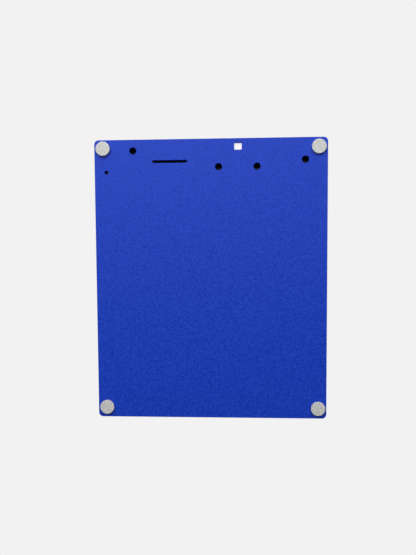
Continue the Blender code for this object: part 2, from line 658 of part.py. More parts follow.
MOUTH_Y = PANEL_Y + SOCKET_PROUD  # a rear socket's mouth; a front one is at -MOUTH_Y


def socket_block(size, x, end):
    """A socket's outer body, standing on the board with its mouth just out of the panel."""
    return block(size, (x, end * (MOUTH_Y - size[1] / 2), ON_BOARD))


def mouth(width, height, depth, x, z, end, start=0.0, **rounding):
    """A pocket that runs in from a socket's mouth, or from start behind it."""
    length = depth + (OVERCUT if start == 0 else 0)
    front = MOUTH_Y + (OVERCUT if start == 0 else -start)
    return box((width, length, height), (x, end * (front - length / 2), z), **rounding)


ETHERNET_FLOOR = 1.2 * MM
ETHERNET_PLUG = (11.9 * MM, 14.0 * MM, 8.0 * MM)  # width, depth and height of its room for the plug
ETHERNET_TAB = (6.4 * MM, 2.4 * MM)  # and of the step under it for the plug's tab


def ethernet_socket():
    width, depth, height = ETHERNET_PLUG
    tab_width, tab_rise = ETHERNET_TAB
    low = ON_BOARD + ETHERNET_FLOOR
    tab = mouth(tab_width, tab_rise + OVERCUT, depth, ETHERNET_X, low + (tab_rise + OVERCUT) / 2, 1)
    plug = mouth(width, height, depth, ETHERNET_X, low + tab_rise + height / 2, 1)
    piece("ethernet_socket", PLATED, socket_block(ETHERNET, ETHERNET_X, 1), [plug, tab])


USB_PORT = (12.0 * MM, 5.2 * MM)
USB_DEPTH = 12.5 * MM
USB_BACK = 3.0 * MM
USB_TONGUE_WIDTH = 10.4 * MM
USB_TONGUE_THICK = 1.9 * MM
USB_TONGUE_LIFT = 1.0 * MM  # its middle over the port's
USB_TONGUE_SHORT = 3.5 * MM  # how far its tongues stay behind the mouth
USB_RISE = 3.6 * MM  # middle of the lower port over the socket's foot
USB_SPACING = 8.4 * MM
USB_LEVELS = [ON_BOARD + USB_RISE, ON_BOARD + USB_RISE + USB_SPACING]


def usb_socket():
    """Two ports, one over the other, that open into one space behind them for the insert's back."""
    cuts = [mouth(*USB_PORT, USB_DEPTH, USB_X, z, 1) for z in USB_LEVELS]
    rise = USB_SPACING + USB_PORT[1]
    middle = sum(USB_LEVELS) / 2
    cuts.append(mouth(USB_PORT[0], rise, USB_BACK + SEAT, USB_X, middle, 1, start=USB_DEPTH - SEAT))
    piece("usb_socket", PLATED, socket_block(USB, USB_X, 1), cuts)
    tongue_reach = USB_DEPTH - USB_TONGUE_SHORT
    wide = USB_PORT[0] - 2 * SEAT
    back_y = MOUTH_Y - USB_DEPTH - SEAT
    back_thick = USB_BACK - 2 * SEAT
    back = box((wide, back_thick, rise - 2 * SEAT), (USB_X, back_y - back_thick / 2, middle))
    rooted = 0.5 * back_thick
    tongue = (USB_TONGUE_WIDTH, tongue_reach + rooted, USB_TONGUE_THICK)
    tongue_y = back_y + (tongue_reach - rooted) / 2
    tongues = [box(tongue, (USB_X, tongue_y, z + USB_TONGUE_LIFT)) for z in USB_LEVELS]
    piece("usb_insert", BLUE_PLASTIC, back, joins=tongues)


TONGUE_FOOT = 1.2 * MM


def tongue_insert(name, tongue, x, z, end, pocket, pocket_depth):
    """A contact tongue of width, reach and thickness, on a foot at the back of its socket's pocket."""
    foot_y = MOUTH_Y - pocket_depth + SEAT + TONGUE_FOOT / 2
    foot = box((pocket[0] - 2 * RUNNING, TONGUE_FOOT, pocket[1] - 2 * RUNNING), (x, end * foot_y, z))
    blade = box(tongue, (x, end * (foot_y + tongue[1] / 2), z))
    piece(name, BLACK, foot, joins=[blade])


HDMI_PORT = (14.0 * MM, 4.6 * MM)
HDMI_DEPTH = 9.5 * MM
HDMI_TONGUE = (11.6 * MM, 6.5 * MM, 1.0 * MM)
USB_C_PORT = (8.3 * MM, 2.6 * MM)
USB_C_END = 1.1 * MM  # radius of the port's round ends
USB_C_WALL = 0.3 * MM
USB_C_DEPTH = 6.4 * MM
USB_C_TONGUE = (6.0 * MM, 4.2 * MM, 0.7 * MM)


def flat_sockets():
    hdmi_z = ON_BOARD + HDMI[2] / 2
    port = mouth(*HDMI_PORT, HDMI_DEPTH, HDMI_X, hdmi_z, 1)
    piece("hdmi_socket", PLATED, socket_block(HDMI, HDMI_X, 1), [port])
    tongue_insert("hdmi_insert", HDMI_TONGUE, HDMI_X, hdmi_z, 1, HDMI_PORT, HDMI_DEPTH)
    c_z = ON_BOARD + USB_C[2] / 2
    body = box(USB_C, (USB_C_X, -(MOUTH_Y - USB_C[1] / 2), c_z), rounded="Y", radius=USB_C_END + USB_C_WALL)
    port = mouth(*USB_C_PORT, USB_C_DEPTH, USB_C_X, c_z, -1, rounded="Y", radius=USB_C_END)
    piece("usb_c_socket", PLATED, body, [port])
    between_ends = (USB_C_PORT[0] - 2 * USB_C_END, USB_C_PORT[1])
    tongue_insert("usb_c_insert", USB_C_TONGUE, USB_C_X, c_z, -1, between_ends, USB_C_DEPTH)


def round_sockets():
    """Power and audio jacks: a block with a nose in the panel's round opening, and a blind bore."""
    face = INSIDE_Y - SEAT
    for name, size, x, nose_hole, (bore, depth) in (
        ("power_jack", POWER_JACK, JACK_X, JACK_HOLE_RADIUS, JACK_BORE),
        ("audio_jack", AUDIO, AUDIO_X, AUDIO_HOLE_RADIUS, AUDIO_BORE),
    ):
        z = ON_BOARD + size[2] / 2
        body = block(size, (x, face - size[1] / 2, ON_BOARD))
        nose_radius = nose_hole - CUTOUT
        nose_length = MOUTH_Y - face + OVERCUT
        nose = rod(nose_radius, nose_length, (x, MOUTH_Y - nose_length / 2, z), "Y", 28)
        hole = rod(bore, depth + OVERCUT, (x, MOUTH_Y - depth / 2 + OVERCUT / 2, z), "Y", 24)
        piece(name, BLACK, body, [hole], [nose])
    radius, length = JACK_PIN
    pin_y = MOUTH_Y - JACK_BORE[1] + SEAT + length / 2
    place = (JACK_X, pin_y, ON_BOARD + POWER_JACK[2] / 2)
    piece("power_jack_pin", PLATED, rod(radius, length, place, "Y", 16))


def power_button():
    """Cap with a flange behind the front panel, pressed inwards against the switch."""
    tip = -PANEL_Y - BUTTON_PROUD
    flange = tip + INSIDE_Y - SEAT
    flange_back = flange - BUTTON_FLANGE_THICK
    stem_radius, stem_length = BUTTON_STEM
    profile = [
        (0, 0),
        (BUTTON_RADIUS - BUTTON_EDGE, 0),
        (BUTTON_RADIUS, -BUTTON_EDGE),
        (BUTTON_RADIUS, flange),
        (BUTTON_FLANGE_RADIUS, flange),
        (BUTTON_FLANGE_RADIUS, flange_back),
        (stem_radius, flange_back),
        (stem_radius, flange_back - stem_length),
        (0, flange_back - stem_length),
    ]
    turned("power_button", BLACK, profile, (BUTTON_X, tip, BUTTON_Z), "Y", True, 32)
    size = (*POWER_SWITCH, BUTTON_Z + POWER_SWITCH_RISE - ON_BOARD)
    stem_y = tip - flange_back + stem_length
    switch_y = stem_y + BUTTON_TRAVEL + SEAT + size[1] / 2
    piece("power_switch", BLACK, block(size, (BUTTON_X, switch_y, ON_BOARD)))


def card_and_socket():
    _, depth, height = CARD_SOCKET
    front = -BOARD_Y + SEAT
    wall = (height - CARD[2] - 2 * RUNNING) / 2
    body = block(CARD_SOCKET, (CARD_X, front + depth / 2, ON_BOARD))
    room = CARD[1] - CARD_PROUD - (PANEL_Y + front) + CARD_PUSH
    pocket = box(
        (CARD[0] + 2 * RUNNING, room + OVERCUT, CARD[2] + 2 * RUNNING),
        (CARD_X, front + (room - OVERCUT) / 2, ON_BOARD + height / 2),
    )
    piece("card_socket", PLATED, body, [pocket])
    card_front = -PANEL_Y - CARD_PROUD
    card_base = (CARD_X, card_front + CARD[1] / 2, ON_BOARD + wall + RUNNING)
    origin = (CARD_X, card_front, card_base[2])
    piece("memory_card", BLACK, block(CARD, card_base, rounded="Z", radius=CARD_CORNER), origin=origin)


def front_light_guide():
    """Two light rods for the front panel, moulded on one bar over the board's status lights."""
    z = BOARD_TOP + LIGHT_LIFT
    bar_front = -POST_Y + POST_SIDE / 2
    size = (LIGHTS_WIDTH, LIGHT_BAR_DEPTH, z + LIGHT_RADIUS - ON_BOARD)
    bar = block(size, (LIGHTS_X, bar_front + LIGHT_BAR_DEPTH / 2, ON_BOARD))
    length = bar_front + OVERCUT + PANEL_Y + SOCKET_PROUD
    middle_y = bar_front + OVERCUT - length / 2
    xs = (LIGHTS_X - LIGHT_SPACING / 2, LIGHTS_X + LIGHT_SPACING / 2)
    rods = [rod(LIGHT_RADIUS, length, (x, middle_y, z), "Y", 16) for x in xs]
    piece("front_light_guide", OPAL, bar, joins=rods)


def pin_header():
    bm = block((*HEADER_SIZE, HEADER_BASE), (HEADER_X, HEADER_Y, ON_BOARD))
    pins = bmesh.new()
    tall = PIN_HEIGHT + HEADER_BASE / 2
    for row in range(PIN_ROWS):
        for column in range(PIN_COLUMNS):
            x = HEADER_X + (row - (PIN_ROWS - 1) / 2) * PIN_PITCH
            y = HEADER_Y + (column - (PIN_COLUMNS - 1) / 2) * PIN_PITCH
            middle = (x, y, ON_BOARD + HEADER_BASE / 2 + tall / 2)
            at = Matrix.LocRotScale(Vector(middle), None, Vector((PIN_SIDE, PIN_SIDE, tall)))
            bmesh.ops.create_cube(pins, size=1, matrix=at)
    piece("pin_header", BLACK, bm, joins=[pins])


def coin_cell():
    x = -BOARD_X + CELL_FROM_LEFT
    holder_radius = CELL_RADIUS + SEAT + CELL_HOLDER_WALL
    floor = ON_BOARD + CELL_HOLDER_FLOOR
    low = floor + SEAT
    tall = low + CELL_HELD - ON_BOARD
    holder = rod(holder_radius, tall, (x, CELL_Y, ON_BOARD + tall / 2), segments=40)
    pocket = rod(CELL_RADIUS + SEAT, tall, (x, CELL_Y, floor + tall / 2), segments=40)
    notch = block((3 * holder_radius, CELL_NOTCH, tall), (x, CELL_Y, low))
    piece("cell_holder", BLACK, holder, [pocket, notch])
    shoulder = CELL_THICK - CELL_EDGE
    profile = [
        (0, CELL_THICK),
        (CELL_RADIUS - 4 * CELL_EDGE, CELL_THICK),
        (CELL_RADIUS - 3 * CELL_EDGE, shoulder),
        (CELL_RADIUS - CELL_EDGE, shoulder),
        (CELL_RADIUS, shoulder - CELL_EDGE),
        (CELL_RADIUS, CELL_EDGE),
        (CELL_RADIUS - CELL_EDGE, 0),
        (0, 0),
    ]
    turned("coin_cell", PLATED, profile, (x, CELL_Y, low), steps=40)


def reset_switch():
    """Switch under the board, its plunger over the plate's pinhole."""
    x, y = PINHOLE_PLACE
    low = SPACER_Z + TACT_RISE
    middle = (x, y, low + (PLUNGER_BORE_DEPTH - OVERCUT) / 2)
    bore = rod(PLUNGER_RADIUS + RUNNING, PLUNGER_BORE_DEPTH + OVERCUT, middle, segments=20)
    piece("reset_switch", BLACK, block((*TACT, UNDER_BOARD - low), (x, y, low)), [bore])
    long = TACT_RISE - PLUNGER_LIFT + PLUNGER_BORE_DEPTH - RESET_TRAVEL - RUNNING
    profile = [
        (0, long),
        (PLUNGER_RADIUS, long),
        (PLUNGER_RADIUS, PLUNGER_EDGE),
        (PLUNGER_RADIUS - PLUNGER_EDGE, 0),
        (0, 0),
    ]
    turned("reset_plunger", BLACK, profile, (x, y, SPACER_Z + PLUNGER_LIFT), steps=20)


def ribbon_connector():
    """Flat cable connector over the plate's slot, with a latch that slides down to let the cable go."""
    x, y = RIBBON_PLACE
    latch_low = SPACER_Z + LATCH_ROOM + LATCH_TRAVEL
    low = latch_low + LATCH_THICK + RUNNING
    entry = block((*RIBBON_ENTRY, RIBBON_ENTRY_DEPTH + OVERCUT), (x, y, low - OVERCUT))
    piece("ribbon_connector", OPAL, block((*RIBBON_BODY, UNDER_BOARD - low), (x, y, low)), [entry])
    wide = RIBBON_BODY[0] + 2 * (LATCH_LEG[0] + RUNNING)
    bar = block((wide, RIBBON_BODY[1], LATCH_THICK), (x, y, latch_low))
    leg = (*LATCH_LEG, LATCH_THICK + RUNNING + LATCH_LEG_REACH)
    out = (wide - LATCH_LEG[0]) / 2
    legs = [block(leg, (x + side * out, y, latch_low)) for side in (1, -1)]
    slot = block((*RIBBON_ENTRY, 3 * LATCH_THICK), (x, y, latch_low - LATCH_THICK))
    piece("ribbon_latch", BLACK, bar, [slot], legs, origin=(x, y, latch_low))


def underside_light():
    """Status light under the board, and the opal block that carries its light to the plate's window."""
    x, y = WINDOW_PLACE
    block_y = min(y, BOARD_Y - LIGHT_BLOCK[1] / 2)
    led_low = UNDER_BOARD - LED[2]
    piece("status_light", OPAL, block(LED, (x, block_y, led_low)))
    tall = led_low - SEAT - SPACER_Z
    piece("window_light_guide", OPAL, block((*LIGHT_BLOCK, tall), (x, block_y, SPACER_Z)))


def main():
    bottom_plate()
    cover()
    end_panels()
    feet()
    plate_screws()
    case_screws()
    spacers_and_posts()
    mainboard()
    chips()
    heat_sink()
    fan_frame()
    fan_rotor()
    ethernet_socket()
    usb_socket()
    flat_sockets()
    round_sockets()
    power_button()
    card_and_socket()
    front_light_guide()
    pin_header()
    coin_cell()
    reset_switch()
    ribbon_connector()
    underside_light()


main()
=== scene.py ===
import json
import math
import random
from collections import namedtuple

import bmesh
import bpy
from mathutils import Matrix, Vector

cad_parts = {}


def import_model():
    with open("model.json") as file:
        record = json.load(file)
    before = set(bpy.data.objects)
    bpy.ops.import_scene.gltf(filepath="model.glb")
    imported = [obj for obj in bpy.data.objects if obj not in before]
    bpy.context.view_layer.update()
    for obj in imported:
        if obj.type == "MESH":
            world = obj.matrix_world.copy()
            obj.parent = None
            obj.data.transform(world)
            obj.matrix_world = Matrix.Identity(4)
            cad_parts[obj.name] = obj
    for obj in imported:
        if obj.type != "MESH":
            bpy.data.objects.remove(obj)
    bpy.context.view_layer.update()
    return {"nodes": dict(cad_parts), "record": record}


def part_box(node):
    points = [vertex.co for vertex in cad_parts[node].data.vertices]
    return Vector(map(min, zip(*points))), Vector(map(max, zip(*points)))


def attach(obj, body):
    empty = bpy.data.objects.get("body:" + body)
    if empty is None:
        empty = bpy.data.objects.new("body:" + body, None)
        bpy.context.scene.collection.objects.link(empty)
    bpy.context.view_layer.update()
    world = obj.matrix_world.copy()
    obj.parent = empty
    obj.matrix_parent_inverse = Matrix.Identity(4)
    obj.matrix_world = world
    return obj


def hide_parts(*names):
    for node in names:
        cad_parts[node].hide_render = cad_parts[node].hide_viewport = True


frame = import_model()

MM = 0.001
NODES = frame["nodes"]
SLOTS = {part["node"]: part["material_slot"] for part in frame["record"]["subparts"]}
BODIES = {node: body for body, nodes in frame["record"]["behaviour"]["bodies"].items() for node in nodes}

# Sizes of the case and its sockets, the same as the frame was built to
CUTOUT = 0.4 * MM  # gap between a socket and its opening in a panel
RUNNING = 0.2 * MM
BORE_RADIUS = 1.7 * MM
SHEET = 1.2 * MM
BEND = 2.0 * MM
PLATE_CORNER = 2.4 * MM
EDGE = 0.12 * MM  # rounding that coating, moulding or milling leaves on an edge
ROUND_HOLE = 1.95 * MM
PINHOLE = 1.1 * MM
ROUND_HOLES = ((21.5, 6.1), (115.9, 11.9), (68.7, 15.3), (89.7, 15.3))  # mm from the right and the rear edge
COUNTERSINK = 3.2 * MM  # its radius at the plate's face
WINDOW = (79.3 * MM, 4.2 * MM, 4.1 * MM, 3.95 * MM)  # from the right and the rear edge, then width and length
RIBBON_SLOT = (19.25 * MM, 1.5 * MM)
OPENING_CORNER = 0.45 * MM
VENT_WIDTH = 2.4 * MM
VENT_PITCH = 4.4 * MM
SIDE_VENT = (2.2 * MM, 12.0 * MM)
SIDE_VENT_PITCH = 5.5 * MM
SIDE_VENT_COUNT = 11
HEADER_MARGIN = 1.2 * MM
HEADER_BASE = 2.5 * MM
PIN_COLUMNS = 20
PIN_SIDE = 0.64 * MM
HEAD_RADIUS = 2.75 * MM
HEAD_HEIGHT = 1.6 * MM
HEAD_RIM = 0.25 * MM
KEY_RADIUS = 1.0 * MM
KEY_FLOOR = 0.8 * MM
THREAD_PITCH = 0.5 * MM
THREAD_CREST = 1.5 * MM
THREAD_ROOT = 1.25 * MM
USB_PORT = (12.0 * MM, 5.2 * MM)
USB_DEPTH = 12.5 * MM
SPRING_THICK = 0.2 * MM
CAP_RADIUS = 3.5 * MM
LIGHT_SPACING = 6.0 * MM
LIGHT_RADIUS = 1.1 * MM
LENS_LENGTH = 0.8 * MM
FAN_WALL = 1.2 * MM
HUB_RADIUS = 10.5 * MM
BLADE_COUNT = 7
BLADE_THICK = 0.45 * MM
FAN_CORNER = 3.0 * MM
FAN_HOLE = 1.6 * MM
FAN_HOLE_INSET = 4.0 * MM
FOOT_RIM = 0.45 * MM
FOOT_SEAT_RIM = 0.12 * MM
COUNTERSINK_DEPTH = 1.6 * MM
HEADER_SLOT_CORNER = 1.5 * MM
SOCKET_CORNER = 0.8 * MM
USB_C_CORNER = 1.8 * MM
PANEL_CORNER = 0.5 * MM
DOME_ANGLE = math.radians(65)
USB_LEVELS = (3.6 * MM, 12.0 * MM)  # the middle of each port, above the shield's floor
JACKS = {  # radius of the bore, radius of the nose and depth of the bore
    "power_jack": (3.2 * MM, 3.8 * MM, 9.5 * MM),
    "audio_jack": (1.8 * MM, 2.6 * MM, 10.0 * MM),
}
NOSE_LENGTH = 2.7 * MM
NOSE_CHAMFER = 0.3 * MM

# Places of the board's small parts in millimetres from its middle, and their sizes in millimetres
COIL_PLACES = ((30, 46), (38, 46), (46, 46))
CANS = ((54, 44, 3.1), (54, 36, 3.1), (30, 36, 2.5), (-52, 42, 3.1), (-52, 34, 2.5))  # x, y and radius
# x, y and side
CHIPS = ((-24, 44, 6), (-1, 46, 5), (20, 48, 5), (40, 32, 7), (14, -60, 4), (32, -40, 5), (-30, -52, 6))
LEG_PITCH = 0.8
# 0 for a row along X or 1 for one along Y, then x and y of its start, and how many
CAPACITOR_ROWS = (
    (0, 31, 24, 8), (0, 31, -22, 7), (1, -34, 18, 7), (1, -34, -4, 6), (0, -20, -44, 9), (0, 20, -30, 7),
    (0, -44, 50, 5), (0, 6, 52, 6), (0, 34, 56, 5), (0, -2, -50, 7), (1, 24, -50, 6), (0, -30, 34, 8),
)
CAPACITOR_SIZES = ((1.6, 0.8, 0.8), (2.0, 1.25, 1.0), (1.0, 0.5, 0.5))
CAPACITOR_PITCH = 2.4

# How close points lie that are one, and how sharp an edge is that gets rounded
SAME_PLACE = 0.001 * MM
SHARP = math.radians(40)

# Studio
WORLD_LIGHT = (0.1, 0.5)  # from below, and from above
FLOOR_HALF = 3.0
FLOOR_FADE = (0.25, 0.9)  # from the middle, where it starts to clear and where it is clear
CAMERA_PLACE = (-15.94, 21.14, -310.85)  # in millimetres
CAMERA_AIM = (1.47, 1.47, 1.8)
CAMERA_UP = (-0.0063, 1, 0)  # the hint of a tilt that a hand gives
LENS = 36.71
SENSOR = 36


# ---------------- finishes


def linear(colour):
    """Linear colour of sRGB hex digits."""
    channels = [int(colour[i : i + 2], 16) / 255 for i in (0, 2, 4)]
    return (*[c / 12.92 if c <= 0.04045 else ((c + 0.055) / 1.055) ** 2.4 for c in channels], 1)


def per(size_mm):
    """Pattern scale, in cells a metre, for cells of that many millimetres."""
    return 1 / (size_mm * MM)


def add(tree, kind, inputs=None, **settings):
    """Adds a shader node: its settings, then its inputs, each linked from a socket or set to a value."""
    made = tree.nodes.new("ShaderNode" + kind)
    for name, value in settings.items():
        setattr(made, name, value)
    for name, value in (inputs or {}).items():
        if isinstance(value, bpy.types.NodeSocket):
            tree.links.new(value, made.inputs[name])
        else:
            made.inputs[name].default_value = value
    return made


def finish(name, **shader):
    """A new material's tree and shader, and the object's own coordinates in metres."""
    made = bpy.data.materials.new(name)
    made.use_nodes = True
    tree = made.node_tree
    principled = tree.nodes["Principled BSDF"]
    for key, value in shader.items():
        principled.inputs[key.replace("_", " ").title().replace("Ior", "IOR")].default_value = value
    where = add(tree, "TexCoord").outputs["Object"]
    return made, tree, principled, where


def wire(tree, shader, **links):
    for key, socket in links.items():
        tree.links.new(socket, shader.inputs[key.replace("_", " ").title()])


def powder_coat():
    """Polyester powder baked on steel: a fine orange peel, so the light lies on it in a soft mottle, and a
    few paler specks that are painted glints. Real peel and glints are finer; these are as coarse as they need
    to be to show."""
    made, tree, shader, where = finish("blue_powder_coat", ior=1.5, specular_ior_level=0.28)
    broad = add(tree, "TexNoise", {"Vector": where, "Scale": per(2.0), "Detail": 2.0})
    fine = add(tree, "TexNoise", {"Vector": where, "Scale": per(0.7), "Detail": 1.5})
    both = add(tree, "Mix", {"Factor": 0.8, 2: broad.outputs["Fac"], 3: fine.outputs["Fac"]})
    tone = add(tree, "ValToRGB", {"Fac": both.outputs[0]})
    low, high = tone.color_ramp.elements
    low.position, low.color = 0.37, linear("0337c2")
    high.position, high.color = 0.63, linear("1e4bd5")
    # Paler specks from these cells are painted glints: a paler blue mixed into the base colour where the coat
    # would sparkle
    cells = add(tree, "TexVoronoi", {"Vector": where, "Scale": per(1.7)})
    rim = {"From Min": 0.06, "From Max": 0.12, "To Min": 0.35, "To Max": 0.0}
    painted_glint_mask = add(tree, "MapRange", {"Value": cells.outputs["Distance"], **rim})
    mixed = {"Factor": painted_glint_mask.outputs[0], 6: tone.outputs["Color"], 7: linear("5f86f2")}
    colour = add(tree, "Mix", mixed, data_type="RGBA")
    satin = {"From Min": 0.35, "From Max": 0.65, "To Min": 0.44, "To Max": 0.64}
    gloss = add(tree, "MapRange", {"Value": both.outputs[0], **satin})
    peel = add(tree, "Bump", {"Height": both.outputs[0], "Strength": 0.5, "Distance": 0.22 * MM})
    wire(tree, shader, base_color=colour.outputs[2], roughness=gloss.outputs[0], normal=peel.outputs[0])
    return made


def plastic(name, dark, light, grit_mm, roughness, strength=0.25, **shader_values):
    """Injection moulded plastic with a spark eroded grain: an even tone, and a fine satin break in its
    shine."""
    made, tree, shader, where = finish(name, ior=1.49, **shader_values)
    grain = add(tree, "TexNoise", {"Vector": where, "Scale": per(grit_mm), "Detail": 3.0})
    tone = add(tree, "ValToRGB", {"Fac": grain.outputs["Fac"]})
    low, high = tone.color_ramp.elements
    low.position, low.color = 0.3, linear(dark)
    high.position, high.color = 0.7, linear(light)
    satin = {"To Min": roughness - 0.08, "To Max": roughness + 0.08}
    gloss = add(tree, "MapRange", {"Value": grain.outputs["Fac"], **satin})
    rough = add(tree, "Bump", {"Height": grain.outputs["Fac"], "Strength": strength, "Distance": 0.03 * MM})
    wire(tree, shader, base_color=tone.outputs["Color"], roughness=gloss.outputs[0], normal=rough.outputs[0])
    return made


def foot_pad():
    """Soft grey polyurethane, cast: matt, with faint cloudy patches and pinholes."""
    made, tree, shader, where = finish("grey_cast_polyurethane", ior=1.5, roughness=0.72)
    cloud = add(tree, "TexNoise", {"Vector": where, "Scale": per(0.8), "Detail": 2.0, "Roughness": 0.6})
    tone = add(tree, "ValToRGB", {"Fac": cloud.outputs["Fac"]})
    low, high = tone.color_ramp.elements
    low.position, low.color = 0.3, linear("d5d5d3")
    high.position, high.color = 0.72, linear("e2e2e0")
    pores = add(tree, "TexVoronoi", {"Vector": where, "Scale": per(0.7)})
    dents = add(tree, "Bump", {"Height": pores.outputs["Distance"], "Strength": 0.2, "Distance": 0.05 * MM})
    wire(tree, shader, base_color=tone.outputs["Color"], normal=dents.outputs[0])
    return made


def metal(name, dark, light, grain_mm, stretch, roughness, strength=0.2):
    """Bare or plated metal with the lines of its rolling or turning: stretch says how long each line is,
    along X, Y and Z, beside its width."""
    made, tree, shader, where = finish(name, metallic=1.0)
    drawn = add(tree, "Mapping", {"Vector": where, "Scale": [1 / s for s in stretch]})
    lines = add(tree, "TexNoise", {"Vector": drawn.outputs[0], "Scale": per(grain_mm), "Detail": 3.0})
    tone = add(tree, "ValToRGB", {"Fac": lines.outputs["Fac"]})
    low, high = tone.color_ramp.elements
    low.position, low.color = 0.25, linear(dark)
    high.position, high.color = 0.75, linear(light)
    satin = {"To Min": roughness - 0.07, "To Max": roughness + 0.1}
    gloss = add(tree, "MapRange", {"Value": lines.outputs["Fac"], **satin})
    relief = add(tree, "Bump", {"Height": lines.outputs["Fac"], "Strength": strength, "Distance": 0.02 * MM})
    wire(tree, shader, base_color=tone.outputs["Color"], roughness=gloss.outputs[0], normal=relief.outputs[0])
    return made


def solder_mask():
    """Black epoxy mask over etched copper: the tracks show as slightly paler, slightly raised lanes."""
    made, tree, shader, where = finish("black_solder_mask", ior=1.52, roughness=0.42)
    tracks = add(
        tree,
        "TexBrick",
        {"Vector": where, "Scale": per(9.0), "Mortar Size": 0.03, "Mortar Smooth": 0.2, "Brick Width": 1.3},
        offset=0.37,
        offset_frequency=3,
        squash=0.6,
        squash_frequency=4,
    )
    lanes = add(tree, "TexWave", {"Vector": where, "Scale": per(14.0), "Distortion": 3.0}, wave_profile="SAW")
    either = add(tree, "Mix", {"Factor": 0.35, 2: tracks.outputs["Fac"], 3: lanes.outputs["Fac"]})
    tone = add(tree, "ValToRGB", {"Fac": either.outputs[0]})
    low, high = tone.color_ramp.elements
    low.color = linear("0c0f0e")
    high.color = linear("1d2523")
    step = add(tree, "Bump", {"Height": either.outputs[0], "Strength": 0.3, "Distance": 0.035 * MM})
    wire(tree, shader, base_color=tone.outputs["Color"], normal=step.outputs[0])
    return made


def opal(name, colour, glow):
    """Cast acrylic with a white filler: milky, a little light comes through it from the diode behind; on the
    window guide that glow is painted light, which evens out the shade its recess casts on it.
    """
    lit = {"emission_color": linear(colour), "emission_strength": glow}
    made, tree, shader, where = finish(name, ior=1.49, roughness=0.3, **lit)
    haze = add(tree, "TexNoise", {"Vector": where, "Scale": per(1.5), "Detail": 2.0})
    tone = add(tree, "ValToRGB", {"Fac": haze.outputs["Fac"]})
    low, high = tone.color_ramp.elements
    low.position, low.color = 0.2, [0.97 * c for c in linear(colour)[:3]] + [1]
    high.position, high.color = 0.8, linear(colour)
    wire(tree, shader, base_color=tone.outputs["Color"])
    return made


COAT = powder_coat()
PAD = foot_pad()
MASK = solder_mask()
BLACK = plastic("black_moulded_nylon", "0b0b0c", "141416", 0.5, 0.42)
RESIN = plastic("black_epoxy_resin", "101113", "1b1c1f", 0.35, 0.58, 0.4)
BLUE = plastic("blue_moulded_polyester", "0f47b4", "1654c6", 0.6, 0.38)
CARD = plastic("black_card_polycarbonate", "08090a", "0f1012", 0.6, 0.32)
FERRITE = plastic("grey_ferrite", "26262a", "34343a", 0.3, 0.66, 0.5)
CERAMIC = plastic("tan_ceramic", "7c5a36", "9a7347", 0.4, 0.5)
OPAL = opal("opal_acrylic", "f2f1ee", 0.0)
# Strong glow over a darker base: on the window guide this is painted light that makes the face evenly bright
# against the shade of its recess
DIODE_AND_PAINTED_GLOW_OPAL = opal("opal_acrylic_diode_and_painted_glow", "9a9996", 2.2)
GREEN = opal("green_light_lens", "47b85a", 0.25)
AMBER = opal("amber_light_lens", "e09a30", 0.2)
OXIDE = metal("black_oxide_steel", "121214", "222226", 0.4, (1, 1, 1), 0.36)
NICKEL = metal("nickel_plated_steel", "b4b1aa", "d2cfc8", 0.25, (8, 1, 1), 0.26)
STEEL = metal("brushed_cell_steel", "b9bbbd", "d8dadc", 0.2, (12, 1, 1), 0.3)
TURNED = metal("turned_aluminium", "c3c6c9", "dfe1e3", 0.2, (1, 1, 0.4), 0.32)
ANODISED = metal("black_anodised_aluminium", "0e0e10", "1a1a1d", 0.35, (1, 10, 1), 0.45)
GOLD = metal("gold_plated_bronze", "d2a04a", "f0c66e", 0.2, (1, 6, 1), 0.25)
TIN = metal("tin_solder", "a9abad", "cbcdd0", 0.4, (1, 1, 1), 0.36)


# ---------------- shapes


def round_edges(shape, edges, width, segments=2):
    bmesh.ops.bevel(shape, geom=edges, offset=width, segments=segments, profile=0.5, affect="EDGES")


def block(low, high, edge=0.0, segments=2):
    """A box between two corners, its edges rounded."""
    low, high = Vector(low), Vector(high)
    shape = bmesh.new()
    bmesh.ops.create_cube(shape, size=1, matrix=Matrix.LocRotScale((low + high) / 2, None, high - low))
    if edge:
        round_edges(shape, shape.edges[:], edge, segments)
    return shape


def centred(size, middle, edge=0.0, segments=2):
    """A box of that size about its middle."""
    half = Vector(size) / 2
    return block(Vector(middle) - half, Vector(middle) + half, edge, segments)


def rounded_loop(middle, width, height, radius, steps=8):
    """Points counter-clockwise round a rectangle with round corners, or round a circle where the radius is
    half of both sides."""
    loop = []
    for quarter, (side, end) in enumerate(((1, 1), (-1, 1), (-1, -1), (1, -1))):
        x = middle[0] + side * (width / 2 - radius)
        y = middle[1] + end * (height / 2 - radius)
        for step in range(steps + 1):
            turn = (quarter + step / steps) * math.pi / 2
            loop.append((x + radius * math.cos(turn), y + radius * math.sin(turn)))
    return loop


def circle(middle, radius, steps=12):
    return rounded_loop(middle, 2 * radius, 2 * radius, radius, steps)


def prism(loop, span, axis):
    """A loop in the other two axes, drawn out along axis from one place to the other."""
    place = {
        "X": lambda u, v, w: (w, u, v),
        "Y": lambda u, v, w: (u, w, v),
        "Z": lambda u, v, w: (u, v, w),
    }[axis]
    shape = bmesh.new()
    rings = [[shape.verts.new(place(u, v, w)) for u, v in loop] for w in span]
    bmesh.ops.remove_doubles(shape, verts=shape.verts[:], dist=SAME_PLACE)
    rings = [[v for v in ring if v.is_valid] for ring in rings]
    for ring in rings:
        shape.faces.new(ring)
    for i in range(len(rings[0])):
        j = (i + 1) % len(rings[0])
        shape.faces.new((rings[0][i], rings[0][j], rings[1][j], rings[1][i]))
    bmesh.ops.recalc_face_normals(shape, faces=shape.faces[:])
    return shape


AXES = {
    "+Z": Matrix(),
    "-Z": Matrix.Rotation(math.pi, 4, "X"),
    "+X": Matrix.Rotation(math.pi / 2, 4, "Y"),
    "-X": Matrix.Rotation(-math.pi / 2, 4, "Y"),
    "+Y": Matrix.Rotation(-math.pi / 2, 4, "X"),
    "-Y": Matrix.Rotation(math.pi / 2, 4, "X"),
}


